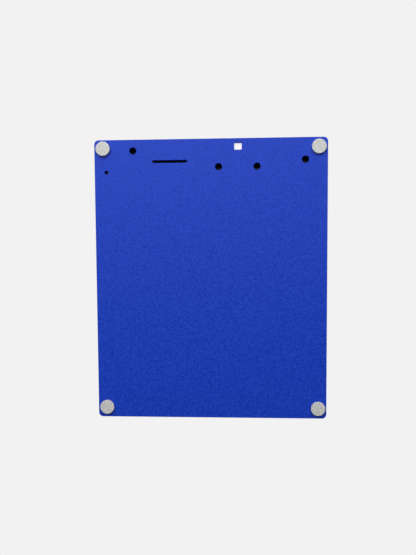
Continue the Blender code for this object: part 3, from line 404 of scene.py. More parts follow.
def turned(profile, place, axis="+Z", steps=48):
    """A shape turned from (radius, height) points, its height along axis from place."""
    shape = bmesh.new()
    verts = [shape.verts.new((radius, 0, height)) for radius, height in profile]
    edges = [shape.edges.new(pair) for pair in zip(verts, verts[1:])]
    whole = {"angle": 2 * math.pi, "steps": steps, "use_merge": True}
    bmesh.ops.spin(shape, geom=verts + edges, cent=(0, 0, 0), axis=(0, 0, 1), **whole)
    bmesh.ops.remove_doubles(shape, verts=shape.verts[:], dist=SAME_PLACE)
    bmesh.ops.recalc_face_normals(shape, faces=shape.faces[:])
    shape.transform(Matrix.Translation(Vector(place)) @ AXES[axis])
    return shape


def rounded_end(radius, height, edge, sign=1, steps=5):
    """Profile points of a rod's rounded end, from its side to its middle; sign says which way it faces."""
    points = []
    for step in range(steps + 1):
        turn = step / steps * math.pi / 2
        points.append((radius - edge * (1 - math.cos(turn)), height - sign * edge * (1 - math.sin(turn))))
    return points + [(0, height)]


def merged(shapes):
    """One shape from several."""
    whole = bmesh.new()
    for shape in shapes:
        mesh = bpy.data.meshes.new("joined")
        shape.to_mesh(mesh)
        shape.free()
        whole.from_mesh(mesh)
        bpy.data.meshes.remove(mesh)
    return whole


def evaluated(obj):
    """An object's final shape; the object itself goes."""
    graph = bpy.context.evaluated_depsgraph_get()
    mesh = bpy.data.meshes.new_from_object(obj.evaluated_get(graph))
    shape = bmesh.new()
    shape.from_mesh(mesh)
    bpy.data.meshes.remove(mesh)
    bpy.data.objects.remove(obj)
    return shape


def placed(name, data):
    """A new object in the scene."""
    made = bpy.data.objects.new(name, data)
    bpy.context.scene.collection.objects.link(made)
    return made


def as_mesh(shape):
    mesh = bpy.data.meshes.new("working_mesh")
    shape.to_mesh(mesh)
    shape.free()
    return mesh


def soften(obj, name, width, segments):
    """Rounds an object's sharp edges."""
    bevel = obj.modifiers.new(name, "BEVEL")
    bevel.width = width
    bevel.segments = segments
    bevel.limit_method = "ANGLE"
    bevel.angle_limit = SHARP


def carved(shape, cutters, edge=0.0, segments=2):
    """A shape less its cutters, with every sharp edge that this leaves rounded."""
    obj = placed("working_shape", as_mesh(shape))
    cutter = placed("working_cutter", as_mesh(merged(cutters)))
    cut = obj.modifiers.new("Cut", "BOOLEAN")
    cut.operation = "DIFFERENCE"
    cut.object = cutter
    cut.solver = "EXACT"
    if edge:
        soften(obj, "Edge", edge, segments)
    result = evaluated(obj)
    bpy.data.objects.remove(cutter)
    return result


def sheet(outer, holes, thickness, place, upright=False):
    """A flat sheet from its outline and its holes, every edge rounded as the coating leaves it.
    It lies in X and Y at the height place, or stands in X and Z with place as its Y."""
    curve = bpy.data.curves.new("outline", "CURVE")
    curve.dimensions = "2D"
    curve.fill_mode = "BOTH"
    curve.extrude = thickness / 2 - EDGE
    curve.bevel_depth = EDGE
    curve.bevel_resolution = 2
    curve.offset = -EDGE
    for loop in (outer, *[hole[::-1] for hole in holes]):
        spline = curve.splines.new("POLY")
        spline.points.add(len(loop) - 1)
        for point, (u, v) in zip(spline.points, loop):
            point.co = (u, v, 0, 1)
        spline.use_cyclic_u = True
    shape = evaluated(placed("working_outline", curve))
    bmesh.ops.remove_doubles(shape, verts=shape.verts[:], dist=2 * SAME_PLACE)
    if upright:
        shape.transform(Matrix.Translation((0, place, 0)) @ AXES["-Y"])
    else:
        shape.transform(Matrix.Translation((0, 0, place)))
    return shape


def show(name, shapes, material, node, stands_for=(), smooth=35):
    """A finished piece: it rides with its node's body, takes the material given, and may stand for nodes."""
    shape = merged(shapes)
    bmesh.ops.dissolve_degenerate(shape, dist=SAME_PLACE, edges=shape.edges[:])
    mesh = as_mesh(shape)
    mesh.name = name
    mesh.shade_smooth()
    mesh.set_sharp_from_angle(angle=math.radians(smooth))
    mesh.materials.append(material)
    made = placed(name, mesh)
    flat = made.modifiers.new("Flat_faces", "WEIGHTED_NORMAL")
    flat.weight = 100
    flat.keep_sharp = True
    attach(made, BODIES[node])
    if stands_for:
        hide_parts(*stands_for)
    return made


Ends = namedtuple("Ends", "low high middle size")


def ends(node):
    """Lowest corner, highest corner, middle and size of a node."""
    low, high = (Vector(corner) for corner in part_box(node))
    return Ends(low, high, (low + high) / 2, high - low)


CORNERS = ("rear_right", "rear_left", "front_right", "front_left")


# ---------------- case


def bottom_plate():
    """Laser cut and coated plate, with countersinks under the feet."""
    low, high, middle, size = ends("bottom_plate")
    holes = [circle((high.x - right * MM, high.y - rear * MM), ROUND_HOLE) for right, rear in ROUND_HOLES]
    plunger, ribbon = ends("reset_plunger").middle, ends("ribbon_connector").middle
    holes.append(circle(plunger.xy, PINHOLE))
    holes.append(rounded_loop(ribbon.xy, *RIBBON_SLOT, OPENING_CORNER))
    from_right, from_rear, width, length = WINDOW
    window = (high.x - from_right, high.y - from_rear)
    holes.append(rounded_loop(window, width, length, OPENING_CORNER))
    screws = [ends(f"plate_screw_{corner}").middle for corner in CORNERS]
    holes += [circle(screw.xy, BORE_RADIUS) for screw in screws]
    plate = sheet(rounded_loop(middle.xy, size.x, size.y, PLATE_CORNER), holes, size.z, middle.z)
    cone = [(0, -MM), (COUNTERSINK + MM, -MM)]
    cone += [(COUNTERSINK - COUNTERSINK_DEPTH, COUNTERSINK_DEPTH), (0, COUNTERSINK_DEPTH)]
    cones = [turned(cone, (screw.x, screw.y, low.z)) for screw in screws]
    show("coated_bottom_plate", [carved(plate, cones)], COAT, "bottom_plate", ["bottom_plate"])


def fold(low, high):
    """Outline of the folded sheet from the front: up one side, over the top and down the other."""
    loop = []
    for inset, order in ((0, 1), (SHEET, -1)):
        radius = BEND - inset
        right, left, top = high.x - inset, low.x + inset, high.z - inset
        side = [(right, low.z)]
        for step in range(9):
            turn = step / 8 * math.pi / 2
            side.append((right - radius * (1 - math.cos(turn)), top - radius * (1 - math.sin(turn))))
        side += [(left + right - x, z) for x, z in side[::-1]]
        loop += side[::order]
    return loop


def cover():
    """Folded steel cover with vents over the fan and in both sides, and a slot over the pin header."""
    low, high, _, _ = ends("cover")
    fan = ends("fan_frame")
    reach = fan.size.x / 2 - FAN_WALL
    through = (high.z - 4 * SHEET, high.z + SHEET)
    cuts = []
    count = int(2 * reach / VENT_PITCH)
    for number in range(count):
        across = (number - (count - 1) / 2) * VENT_PITCH
        length = 2 * math.sqrt(reach**2 - (abs(across) + VENT_WIDTH / 2) ** 2)
        vent = rounded_loop((fan.middle.x + across, fan.middle.y), VENT_WIDTH, length, 0.49 * VENT_WIDTH)
        cuts.append(prism(vent, through, "Z"))
    header = ends("pin_header")
    slot = [side + 2 * HEADER_MARGIN for side in header.size.xy]
    cuts.append(prism(rounded_loop(header.middle.xy, *slot, HEADER_SLOT_CORNER), through, "Z"))
    across = (low.x - MM, high.x + MM)
    vent_z = (ends("mainboard").high.z + high.z - SHEET) / 2
    for number in range(SIDE_VENT_COUNT):
        along = (number - (SIDE_VENT_COUNT - 1) / 2) * SIDE_VENT_PITCH
        cuts.append(prism(rounded_loop((along, vent_z), *SIDE_VENT, 0.49 * SIDE_VENT[0]), across, "X"))
    for corner in ("rear_right", "front_right"):
        screw = ends(f"cover_screw_{corner}").middle
        cuts.append(prism(circle(screw.yz, BORE_RADIUS), across, "X"))
    folded = prism(fold(low, high), (low.y, high.y), "Y")
    show("coated_cover", [carved(folded, cuts, 0.2 * MM)], COAT, "cover", ["cover"], 40)


def socket_hole(node, radius, width=None):
    """Opening in an end panel round a socket, with the same gap on all sides."""
    _, _, middle, size = ends(node)
    return rounded_loop(middle.xz, (width or size.x) + 2 * CUTOUT, size.z + 2 * CUTOUT, radius)


def end_panels():
    """Two coated panels behind the cover's ends, cut round the sockets, the button and the lights."""
    rear = [socket_hole(node, SOCKET_CORNER) for node in ("hdmi_socket", "usb_socket", "ethernet_socket")]
    for node, (_, nose, _) in JACKS.items():
        socket = ends(node).middle
        rear.append(circle(socket.xz, nose + CUTOUT))
    button, guide, card = ends("power_button"), ends("front_light_guide"), ends("memory_card")
    front = [circle((button.middle.x, button.middle.z), CAP_RADIUS + RUNNING)]
    front.append(socket_hole("usb_c_socket", USB_C_CORNER))
    front.append(socket_hole("card_socket", SOCKET_CORNER, card.size.x))
    for side in (-1, 1):
        lamp = (guide.middle.x + side * LIGHT_SPACING / 2, guide.high.z - LIGHT_RADIUS)
        front.append(circle(lamp, LIGHT_RADIUS + RUNNING))
    for node, holes in (("rear_panel", rear), ("front_panel", front)):
        _, _, middle, size = ends(node)
        for side in ("right", "left"):
            screw = ends(f"panel_screw_{node.split('_')[0]}_{side}").middle
            holes.append(circle(screw.xz, BORE_RADIUS))
        outer = rounded_loop(middle.xz, size.x, size.z, PANEL_CORNER)
        panel = sheet(outer, holes, size.y, middle.y, upright=True)
        show(f"coated_{node}", [panel], COAT, node, [node])


def feet():
    """Cast pads with a soft round rim."""
    for corner in CORNERS:
        node = f"foot_{corner}"
        low, _, middle, size = ends(node)
        radius = size.x / 2
        profile = rounded_end(radius, size.z, FOOT_SEAT_RIM)[::-1] + rounded_end(radius, 0, FOOT_RIM, -1)
        show(f"cast_{node}", [turned(profile, (middle.x, middle.y, low.z), steps=64)], PAD, node, [node])


def screw_profile(length):
    """A domed head on the level 0 and a threaded shank below it."""
    dome = [(0, HEAD_HEIGHT)]
    for step in range(8, -1, -1):
        turn = DOME_ANGLE * step / 8
        rise = HEAD_RIM + (HEAD_HEIGHT - HEAD_RIM) * math.sin(turn) / math.sin(DOME_ANGLE)
        dome.append((HEAD_RADIUS * math.cos(turn), rise))
    thread = []
    for turn in range(int(length / THREAD_PITCH) - 1):
        level = -SHEET - turn * THREAD_PITCH
        if level - THREAD_PITCH > -length:
            thread += [(THREAD_ROOT, level), (THREAD_CREST, level - THREAD_PITCH / 2)]
    return [*dome, (HEAD_RADIUS, 0), (THREAD_ROOT, 0), *thread, (THREAD_ROOT, -length), (0, -length)]


def case_screws():
    """Button headed screws with a hexagon socket, in the cover's sides and the end panels."""
    for kind, letter in (("cover", "X"), ("panel", "Y")):
        for corner in CORNERS:
            node = f"{kind}_screw_{corner}"
            _, _, middle, size = ends(node)
            index = "XY".index(letter)
            sign = 1 if middle[index] > 0 else -1
            place = middle.copy()
            place[index] += sign * (size[index] / 2 - HEAD_HEIGHT)
            axis = f"{'+' if sign > 0 else '-'}{letter}"
            screw = turned(screw_profile(size[index] - HEAD_HEIGHT), place, axis)
            key = [(0, KEY_FLOOR), (KEY_RADIUS, KEY_FLOOR), (KEY_RADIUS, 3 * MM), (0, 3 * MM)]
            screw = carved(screw, [turned(key, place, axis, steps=6)])
            show(f"threaded_{node}", [screw], OXIDE, node, [node])


# ---------------- sockets


def strips(count, pitch, middle_x, width, y_span, z_span):
    """A row of contact strips side by side."""
    made = []
    for number in range(count):
        x = middle_x + (number - (count - 1) / 2) * pitch
        low = (x - width / 2, y_span[0], z_span[0])
        made.append(block(low, (x + width / 2, y_span[1], z_span[1]), 0.04 * MM, 1))
    return made


def leaf(x, width, start_y, end_y, z, bow):
    """A spring pressed out of a shield: a thin strip that bows away from the wall at z."""
    upper, lower = [], []
    for step in range(9):
        y = start_y + (end_y - start_y) * step / 8
        level = z + bow * math.sin(math.pi * step / 8)
        upper.append((y, level + SPRING_THICK / 2))
        lower.append((y, level - SPRING_THICK / 2))
    return prism(upper + lower[::-1], (x - width / 2, x + width / 2), "X")


def usb_socket():
    """Plated shield with two ports, springs in each, and blue tongues with their contacts."""
    low, high, middle, _ = ends("usb_socket")
    mouth = high.y
    levels = [low.z + level for level in USB_LEVELS]
    width, height = USB_PORT
    cuts = [
        prism(rounded_loop((middle.x, z), width, height, 0.4 * MM), (mouth - USB_DEPTH, mouth + MM), "Y")
        for z in levels
    ]
    space = (width, 3.3 * MM, levels[1] - levels[0] + height)
    cuts.append(centred(space, (middle.x, mouth - USB_DEPTH - 1.4 * MM, sum(levels) / 2)))
    springs = []
    for z in levels:
        for side in (-1, 1):
            x = middle.x + side * 0.27 * width
            for wall, bow in ((height / 2, -0.3 * MM), (-height / 2, 0.45 * MM)):
                springs.append(leaf(x, 1.9 * MM, mouth - MM, mouth - 6.5 * MM, z + wall, bow))
    shield = carved(block(low, high), cuts, 0.2 * MM)
    show("plated_usb_shield", [shield], NICKEL, "usb_socket", ["usb_socket"])
    show("usb_springs", springs, NICKEL, "usb_socket")
    insert_low, insert_high, _, _ = ends("usb_insert")
    tongues, contacts = [], []
    back = block(insert_low, (insert_high.x, insert_low.y + 2.4 * MM, insert_high.z), 0.15 * MM)
    for z in levels:
        top, under = z + 1.95 * MM, z + 0.05 * MM
        tongue_low = (middle.x - 5.2 * MM, insert_low.y + 1.2 * MM, under)
        tongues.append(block(tongue_low, (middle.x + 5.2 * MM, insert_high.y, top), 0.25 * MM, 3))
        reach = (insert_high.y - 7.0 * MM, insert_high.y - 0.8 * MM)
        contacts += strips(4, 2.3 * MM, middle.x, 1.1 * MM, reach, (under - 0.1 * MM, under + 0.1 * MM))
        tip = (insert_high.y - 0.05 * MM, insert_high.y + 0.12 * MM)
        contacts += strips(5, 1.9 * MM, middle.x, 0.7 * MM, tip, (under + 0.3 * MM, under + 1.2 * MM))
    show("blue_usb_tongues", [back, *tongues], BLUE, "usb_insert", ["usb_insert"])
    show("usb_contacts", contacts, GOLD, "usb_insert")


def ethernet_socket():
    """Shield, black liner with the plug's stepped opening, eight gold wires and two status lenses."""
    low, high, middle, _ = ends("ethernet_socket")
    mouth = high.y
    plug_width, plug_depth, plug_height = (11.9 * MM, 14.0 * MM, 8.0 * MM)
    tab_width, tab_height = (6.4 * MM, 2.4 * MM)
    floor = low.z + 1.2 * MM
    step = floor + tab_height
    top = step + plug_height
    x = middle.x
    half, tab = plug_width / 2, tab_width / 2
    opening = [(x - tab, floor), (x + tab, floor), (x + tab, step), (x + half, step)]
    opening += [(x + half, top), (x - half, top), (x - half, step), (x - tab, step)]
    inner = prism(opening, (mouth - plug_depth, mouth + MM), "Y")
    wall = 0.4 * MM
    liner_low = (low.x + wall, low.y + wall, low.z + wall)
    liner_high = (high.x - wall, mouth - 0.3 * MM, high.z - wall)
    room = block(liner_low, (liner_high[0], mouth + MM, liner_high[2]))
    lens_places = [(x + side * (tab + half) / 2, floor + 0.5 * tab_height) for side in (-1, 1)]
    lens_rooms = [centred((2.4 * MM, 6 * MM, 1.9 * MM), (u, mouth, v)) for u, v in lens_places]
    shield = carved(block(low, high), [room], 0.15 * MM)
    liner = carved(block(liner_low, liner_high), [inner, *lens_rooms], 0.12 * MM)
    show("plated_network_shield", [shield], NICKEL, "ethernet_socket", ["ethernet_socket"])
    show("black_network_liner", [liner], BLACK, "ethernet_socket")
    springs = []
    for side in (-1, 1):
        springs.append(leaf(x + side * 4.2 * MM, 1.6 * MM, mouth - 0.6 * MM, mouth - 6 * MM, top, -0.5 * MM))
    show("network_springs", springs, NICKEL, "ethernet_socket")
    for name, material, (u, v) in zip(("green", "amber"), (GREEN, AMBER), lens_places):
        lens = centred((2.2 * MM, 2.7 * MM, 1.7 * MM), (u, mouth - 1.45 * MM, v), 0.2 * MM)
        show(f"{name}_network_lens", [lens], material, "ethernet_socket")
    wires = []
    for number in range(8):
        wire_x = x + (number - 3.5) * 1.02 * MM
        wires.append(leaf(wire_x, 0.35 * MM, mouth - 13.8 * MM, mouth - 3.0 * MM, top - 0.2 * MM, -1.9 * MM))
    show("network_contacts", wires, GOLD, "ethernet_socket")


def video_socket():
    """Shield with a port that narrows at its foot, and a tongue with contacts on both faces."""
    low, high, middle, _ = ends("hdmi_socket")
    mouth = high.y
    half, tall, slant = 7.0 * MM, 2.3 * MM, 1.1 * MM
    x, z = middle.x, middle.z
    port = [(x - half + slant, z - tall), (x + half - slant, z - tall), (x + half, z - tall + slant)]
    port += [(x + half, z + tall), (x - half, z + tall), (x - half, z - tall + slant)]
    cut = prism(port, (mouth - 9.5 * MM, mouth + MM), "Y")
    shield = carved(block(low, high), [cut], 0.2 * MM)
    show("plated_video_shield", [shield], NICKEL, "hdmi_socket", ["hdmi_socket"])
    springs = []
    for side in (-1, 1):
        springs.append(leaf(x + side * 3.6 * MM, 1.8 * MM, mouth - MM, mouth - 6 * MM, z + tall, -0.35 * MM))
    show("video_springs", springs, NICKEL, "hdmi_socket")
    insert_low, insert_high, _, _ = ends("hdmi_insert")
    foot = centred((11.4 * MM, 1.2 * MM, 4.0 * MM), (x, insert_low.y + 0.6 * MM, z))
    tongue_low = (x - 5.8 * MM, insert_low.y + 0.6 * MM, z - 0.5 * MM)
    tongue = block(tongue_low, (x + 5.8 * MM, insert_high.y, z + 0.5 * MM), 0.2 * MM)
    show("black_video_tongue", [foot, tongue], BLACK, "hdmi_insert", ["hdmi_insert"])
    reach = (insert_low.y + 1.2 * MM, insert_high.y - 0.5 * MM)
    contacts = strips(10, MM, x, 0.5 * MM, reach, (z + 0.45 * MM, z + 0.55 * MM))
    contacts += strips(9, MM, x, 0.5 * MM, reach, (z - 0.55 * MM, z - 0.45 * MM))
    show("video_contacts", contacts, GOLD, "hdmi_insert")


def usb_c_socket():
    """Drawn shell with round ends and a thin tongue."""
    low, high, middle, size = ends("usb_c_socket")
    mouth = low.y
    x, z = middle.x, middle.z
    shell = prism(rounded_loop((x, z), size.x, size.z, 0.495 * size.z), (low.y, high.y), "Y")
    port = prism(rounded_loop((x, z), 8.3 * MM, 2.6 * MM, 1.29 * MM), (mouth - MM, mouth + 6.4 * MM), "Y")
    show("drawn_usb_c_shell", [carved(shell, [port], 0.1 * MM)], NICKEL, "usb_c_socket", ["usb_c_socket"])
    insert_low, insert_high, _, _ = ends("usb_c_insert")
    foot_loop = rounded_loop((x, z), 7.6 * MM, 2.2 * MM, MM)
    foot = prism(foot_loop, (insert_high.y - 1.2 * MM, insert_high.y), "Y")
    tongue_low = (x - 3.0 * MM, insert_low.y, z - 0.35 * MM)
    tongue = block(tongue_low, (x + 3.0 * MM, insert_high.y - 0.6 * MM, z + 0.35 * MM), 0.15 * MM)
    show("black_usb_c_tongue", [foot, tongue], BLACK, "usb_c_insert", ["usb_c_insert"])
    reach = (insert_low.y + 0.4 * MM, insert_high.y - 1.3 * MM)
    contacts = strips(12, 0.45 * MM, x, 0.25 * MM, reach, (z + 0.32 * MM, z + 0.39 * MM))
    contacts += strips(12, 0.45 * MM, x, 0.25 * MM, reach, (z - 0.39 * MM, z - 0.32 * MM))
    show("usb_c_contacts", contacts, GOLD, "usb_c_insert")


def jack(node):
    """A moulded block with a round nose in its panel opening and a deep round bore."""
    bore, nose, depth = JACKS[node]
    low, high, middle, _ = ends(node)
    mouth = high.y
    face = mouth - 1.8 * MM
    body = block(low, (high.x, face, high.z), 0.3 * MM)
    hole = prism(circle(middle.xz, bore), (mouth - depth, mouth + MM), "Y")
    ring = [(bore, 0), (nose, 0), (nose, NOSE_LENGTH - NOSE_CHAMFER), (nose - NOSE_CHAMFER, NOSE_LENGTH)]
    ring += [(bore + NOSE_CHAMFER, NOSE_LENGTH), (bore, NOSE_LENGTH - NOSE_CHAMFER), (bore, 0)]
    neck = turned(ring, (middle.x, mouth - NOSE_LENGTH, middle.z), "+Y")
    show(f"moulded_{node}", [carved(body, [hole]), neck], BLACK, node, [node])


def round_sockets():
    """Both jacks, the pin in the middle of one, and a contact spring in each."""
    for node in JACKS:
        jack(node)
    low, _, middle, size = ends("power_jack_pin")
    radius = size.x / 2
    profile = [(0, 0), (radius, 0), *rounded_end(radius, size.y, 0.6 * radius)]
    pin = turned(profile, (middle.x, low.y, middle.z), "+Y")
    show("round_power_pin", [pin], NICKEL, "power_jack_pin", ["power_jack_pin"])
    for node, (bore, _, _) in JACKS.items():
        _, high, middle, _ = ends(node)
        spring = leaf(middle.x, 1.2 * MM, high.y - 3 * MM, high.y - 8 * MM, middle.z - bore, 0.5 * MM)
        show(f"{node}_spring", [spring], GOLD, node)


# ---------------- front edge


def power_button():
    """Moulded cap, dished for a fingertip, with a flange behind the panel and a stem to the switch."""
    low, _, middle, size = ends("power_button")
    flange = 2.4 * MM  # from the cap's face to its flange
    dish = [(CAP_RADIUS * 0.8 * step / 6, -0.22 * MM * (1 - (step / 6) ** 2)) for step in range(7)]
    rim = rounded_end(CAP_RADIUS, 0, 0.35 * MM)[-2::-1]
    profile = [*dish, *rim, (CAP_RADIUS, -flange), (size.x / 2, -flange), (size.x / 2, -flange - MM)]
    profile += [(1.5 * MM, -flange - MM), (1.5 * MM, -size.y), (0, -size.y)]
    cap = turned(profile, (middle.x, low.y, middle.z), "-Y", steps=64)
    show("dished_power_button", [cap], BLACK, "power_button", ["power_button"])


def front_lights():
    """Moulded light guide: two rods on a bar, with a tinted lens on the end of each."""
    low, high, _, _ = ends("front_light_guide")
    shapes = [block((low.x, high.y - 3 * MM, low.z), high, 0.3 * MM)]
    for name, material, side in (("power", GREEN, 1), ("activity", AMBER, -1)):
        x, z = (low.x + high.x) / 2 + side * LIGHT_SPACING / 2, high.z - LIGHT_RADIUS
        start = (x, high.y - 2.5 * MM, z)
        length = start[1] - low.y
        root = length - LENS_LENGTH
        rod = [(0, 0), (LIGHT_RADIUS, 0), (LIGHT_RADIUS, root), (0, root)]
        shapes.append(turned(rod, start, "-Y", steps=32))
        lens = [(0, root), (LIGHT_RADIUS, root), *rounded_end(LIGHT_RADIUS, length, 0.45 * MM)]
        show(f"{name}_light_lens", [turned(lens, start, "-Y", steps=32)], material, "front_light_guide")
    show("moulded_light_guide", shapes, OPAL, "front_light_guide", ["front_light_guide"])


def memory_card():
    """Card with its corners rounded, a raised grip along its outer end, and gold pads underneath."""
    low, high, middle, size = ends("memory_card")
    body = prism(rounded_loop(middle.xy, size.x, size.y, 0.6 * MM), (low.z, high.z), "Z")
    rims = [e for e in body.edges if abs(e.verts[0].co.z - e.verts[1].co.z) < 0.01 * MM]
    round_edges(body, rims, 0.08 * MM)
    grip_low = (middle.x - 0.42 * size.x, low.y + 0.1 * MM, high.z - 0.1 * MM)
    grip = block(grip_low, (middle.x + 0.42 * size.x, low.y + 0.8 * MM, high.z + 0.25 * MM), 0.12 * MM)
    show("moulded_memory_card", [body, grip], CARD, "memory_card", ["memory_card"])
    reach = (high.y - 3.4 * MM, high.y - 0.6 * MM)
    pads = strips(8, 1.1 * MM, middle.x, 0.8 * MM, reach, (low.z - 0.02 * MM, low.z + 0.05 * MM))
    show("memory_card_pads", pads, GOLD, "memory_card")


# ---------------- board


def pin_header():
    """Two rows of square gold pins in a base moulded as a cell for each pair."""
    low, high, middle, size = ends("pin_header")
    pitch = size.y / PIN_COLUMNS
    cell_half = pitch / 2 - 0.02 * MM
    cells, pins = [], []
    for column in range(PIN_COLUMNS):
        y = low.y + (column + 0.5) * pitch
        cell_low = (low.x, y - cell_half, low.z)
        cells.append(block(cell_low, (high.x, y + cell_half, low.z + HEADER_BASE), 0.35 * MM, 1))
        for side in (-1, 1):
            x = middle.x + side * pitch / 2
            half = PIN_SIDE / 2
            pin = block((x - half, y - half, low.z + 0.5 * MM), (x + half, y + half, high.z))
            top = [v for v in pin.verts if v.co.z > middle.z]
            bmesh.ops.inset_region(pin, faces=[f for f in pin.faces if f.normal.z > 0.9], thickness=0.15 * MM)
            for vert in top:
                vert.co.z -= 0.45 * MM
            pins.append(pin)
    show("header_base", cells, BLACK, "pin_header", ["pin_header"])
    show("header_pins", pins, GOLD, "pin_header")


def fan():
    """Slim fan: rounded duct with corner bushes and struts, and a rotor of swept, cambered blades."""
    low, high, middle, size = ends("fan_frame")
    x, y = middle.x, middle.y
    reach = size.x / 2 - FAN_WALL
    duct = prism(rounded_loop((x, y), size.x, size.y, FAN_CORNER), (low.z, high.z), "Z")
    through = (low.z - MM, high.z + MM)
    cuts = [prism(circle((x, y), reach, 24), through, "Z")]
    out = size.x / 2 - FAN_HOLE_INSET
    corners = [(x + u * out, y + v * out) for u in (-1, 1) for v in (-1, 1)]
    cuts += [prism(circle(corner, FAN_HOLE), through, "Z") for corner in corners]
    frame_shapes = [carved(duct, cuts, 0.25 * MM)]
    back = MM
    motor = [(0, 0), (HUB_RADIUS, 0), *rounded_end(HUB_RADIUS, back, 0.2 * MM)]
    frame_shapes.append(turned(motor, (x, y, low.z)))
    for number in range(3):
        strut = block((HUB_RADIUS - MM, -MM, 0), (reach + 0.5 * MM, MM, back), 0.2 * MM)
        turn = Matrix.Rotation(2 * math.pi * (number + 0.25) / 3, 4, "Z")
        strut.transform(Matrix.Translation((x, y, low.z)) @ turn)
        frame_shapes.append(strut)
    show("moulded_fan_frame", frame_shapes, BLACK, "fan_frame", ["fan_frame"])
    rotor_low, rotor_high, _, _ = ends("fan_rotor")
    tall = rotor_high.z - rotor_low.z
    hub = [(0, 0), (HUB_RADIUS, 0), *rounded_end(HUB_RADIUS, tall, 0.8 * MM)[:-1]]
    hub += [(0.62 * HUB_RADIUS, tall), (0.6 * HUB_RADIUS, tall - 0.3 * MM), (0, tall - 0.3 * MM)]
    shapes = [turned(hub, (x, y, rotor_low.z), steps=64)]
    tip = reach - 0.8 * MM
    for number in range(BLADE_COUNT):
        blade = bmesh.new()
        rows = []
        for station in range(7):
            share = station / 6
            radius = HUB_RADIUS - 0.5 * MM + share * (tip - HUB_RADIUS + 0.5 * MM)
            row = []
            for step in range(9):
                chord = step / 8
                angle = math.radians(-19 + 38 * chord) - math.radians(13) * share**1.5
                camber = 0.35 * MM * math.sin(math.pi * chord)
                level = 0.5 * MM + (tall - MM) * (1 - chord) + camber
                row.append(blade.verts.new((radius * math.cos(angle), radius * math.sin(angle), level)))
            rows.append(row)
        for inner, outer in zip(rows, rows[1:]):
            for i in range(8):
                blade.faces.new((inner[i], outer[i], outer[i + 1], inner[i + 1]))
        blade.normal_update()
        bmesh.ops.solidify(blade, geom=blade.faces[:], thickness=BLADE_THICK)
        turn = Matrix.Rotation(2 * math.pi * number / BLADE_COUNT, 4, "Z")
        blade.transform(Matrix.Translation((x, y, rotor_low.z)) @ turn)
        shapes.append(blade)
    show("swept_fan_rotor", shapes, BLACK, "fan_rotor", ["fan_rotor"])
    fan_screws = []
    for corner in corners:
        head = [(0, 0.6 * MM), (1.0 * MM, 0.6 * MM), (2.2 * MM, 0.25 * MM), (2.3 * MM, 0), (0, 0)]
        fan_screws.append(turned(head, (*corner, high.z), steps=32))
    show("fan_screws", fan_screws, OXIDE, "fan_frame")


def capacitor(place, size, along):
    """Body and two tin ends of a small ceramic capacitor on the board, its length along axis 0 or 1."""
    long, wide, tall = size
    spans = Vector((wide, long, tall) if along else (long, wide, tall))
    body = centred(spans, (place[0], place[1], place[2] + tall / 2), 0.08 * MM)
    cap = 1.04 * spans
    cap[along] = 0.28 * spans[along]
    caps = []
    for side in (-1, 1):
        middle = Vector(place) + Vector((0, 0, 0.52 * tall))
        middle[along] += side * 0.38 * spans[along]
        caps.append(centred(cap, middle, 0.06 * MM))
    return body, caps


def coils_and_cans(top):
    """Power coils with a resin cap each, and round capacitors on their bases."""
    coils, coil_caps = [], []
    for x, y in COIL_PLACES:
        coils.append(centred((6 * MM, 6 * MM, 3 * MM), (x * MM, y * MM, top + 1.5 * MM), 0.5 * MM, 3))
        cap = centred((4.4 * MM, 4.4 * MM, 0.3 * MM), (x * MM, y * MM, top + 3.05 * MM), 0.12 * MM)
        coil_caps.append(cap)
    show("power_coils", coils, FERRITE, "mainboard")
    show("coil_caps", coil_caps, RESIN, "mainboard")
    cans, bases = [], []
    for x, y, radius_mm in CANS:
        radius = radius_mm * MM
        base = centred((2.2 * radius, 2.2 * radius, MM), (x * MM, y * MM, top + 0.5 * MM), 0.2 * MM)
        bases.append(base)
        profile = [(0, 0), (radius, 0), (radius, MM), (0.93 * radius, 1.25 * MM)]
        profile += [(radius, 1.5 * MM), *rounded_end(radius, 5.6 * MM, 0.4 * MM)]
        cans.append(turned(profile, (x * MM, y * MM, top + 0.9 * MM), steps=32))
    show("capacitor_cans", cans, STEEL, "mainboard")
    show("capacitor_bases", bases, BLACK, "mainboard")


def board_parts():
    """Small parts soldered round the chips and behind the sockets: coils, cans, chips and capacitors."""
    top = ends("mainboard").high.z
    coils_and_cans(top)
    chips, legs = [], []
    for x, y, side in CHIPS:
        body = centred((side * MM, side * MM, 0.9 * MM), (x * MM, y * MM, top + 0.55 * MM), 0.1 * MM)
        chips.append(body)
        count = int(side / LEG_PITCH)
        for number in range(count):
            along = (number - (count - 1) / 2) * LEG_PITCH
            for edge in (-1, 1):
                reach = edge * (side / 2 + 0.25)
                for u, v, size in ((along, reach, (0.35, 0.6, 0.2)), (reach, along, (0.6, 0.35, 0.2))):
                    place = ((x + u) * MM, (y + v) * MM, top + 0.12 * MM)
                    legs.append(centred([s * MM for s in size], place))
    show("small_chips", chips, RESIN, "mainboard")
    bodies, caps = [], []
    draw = random.Random(7)
    for axis, x, y, count in CAPACITOR_ROWS:
        for number in range(count):
            size = [s * MM for s in draw.choice(CAPACITOR_SIZES)]
            place = [x, y]
            place[axis] += number * CAPACITOR_PITCH
            body, pair = capacitor((place[0] * MM, place[1] * MM, top), size, 1 - axis)
            bodies.append(body)
            caps += pair
    show("ceramic_capacitors", bodies, CERAMIC, "mainboard")
    show("soldered_ends", [*caps, *legs], TIN, "mainboard")


FINISHES = {
    "solder_mask": MASK,
    "black_steel": OXIDE,
    "aluminium": TURNED,
    "black_aluminium": ANODISED,
    "chip_resin": RESIN,
    "plated_steel": NICKEL,
    "black_plastic": BLACK,
    "opal_plastic": OPAL,
}
OWN_FINISH = {
    # The window guide's glow is painted light filling the shade of its recess; on the status light the glow
    # stands for its diode
    "window_light_guide": DIODE_AND_PAINTED_GLOW_OPAL,
    "status_light": DIODE_AND_PAINTED_GLOW_OPAL,
    "coin_cell": STEEL,
    "ribbon_connector": BLACK,
}


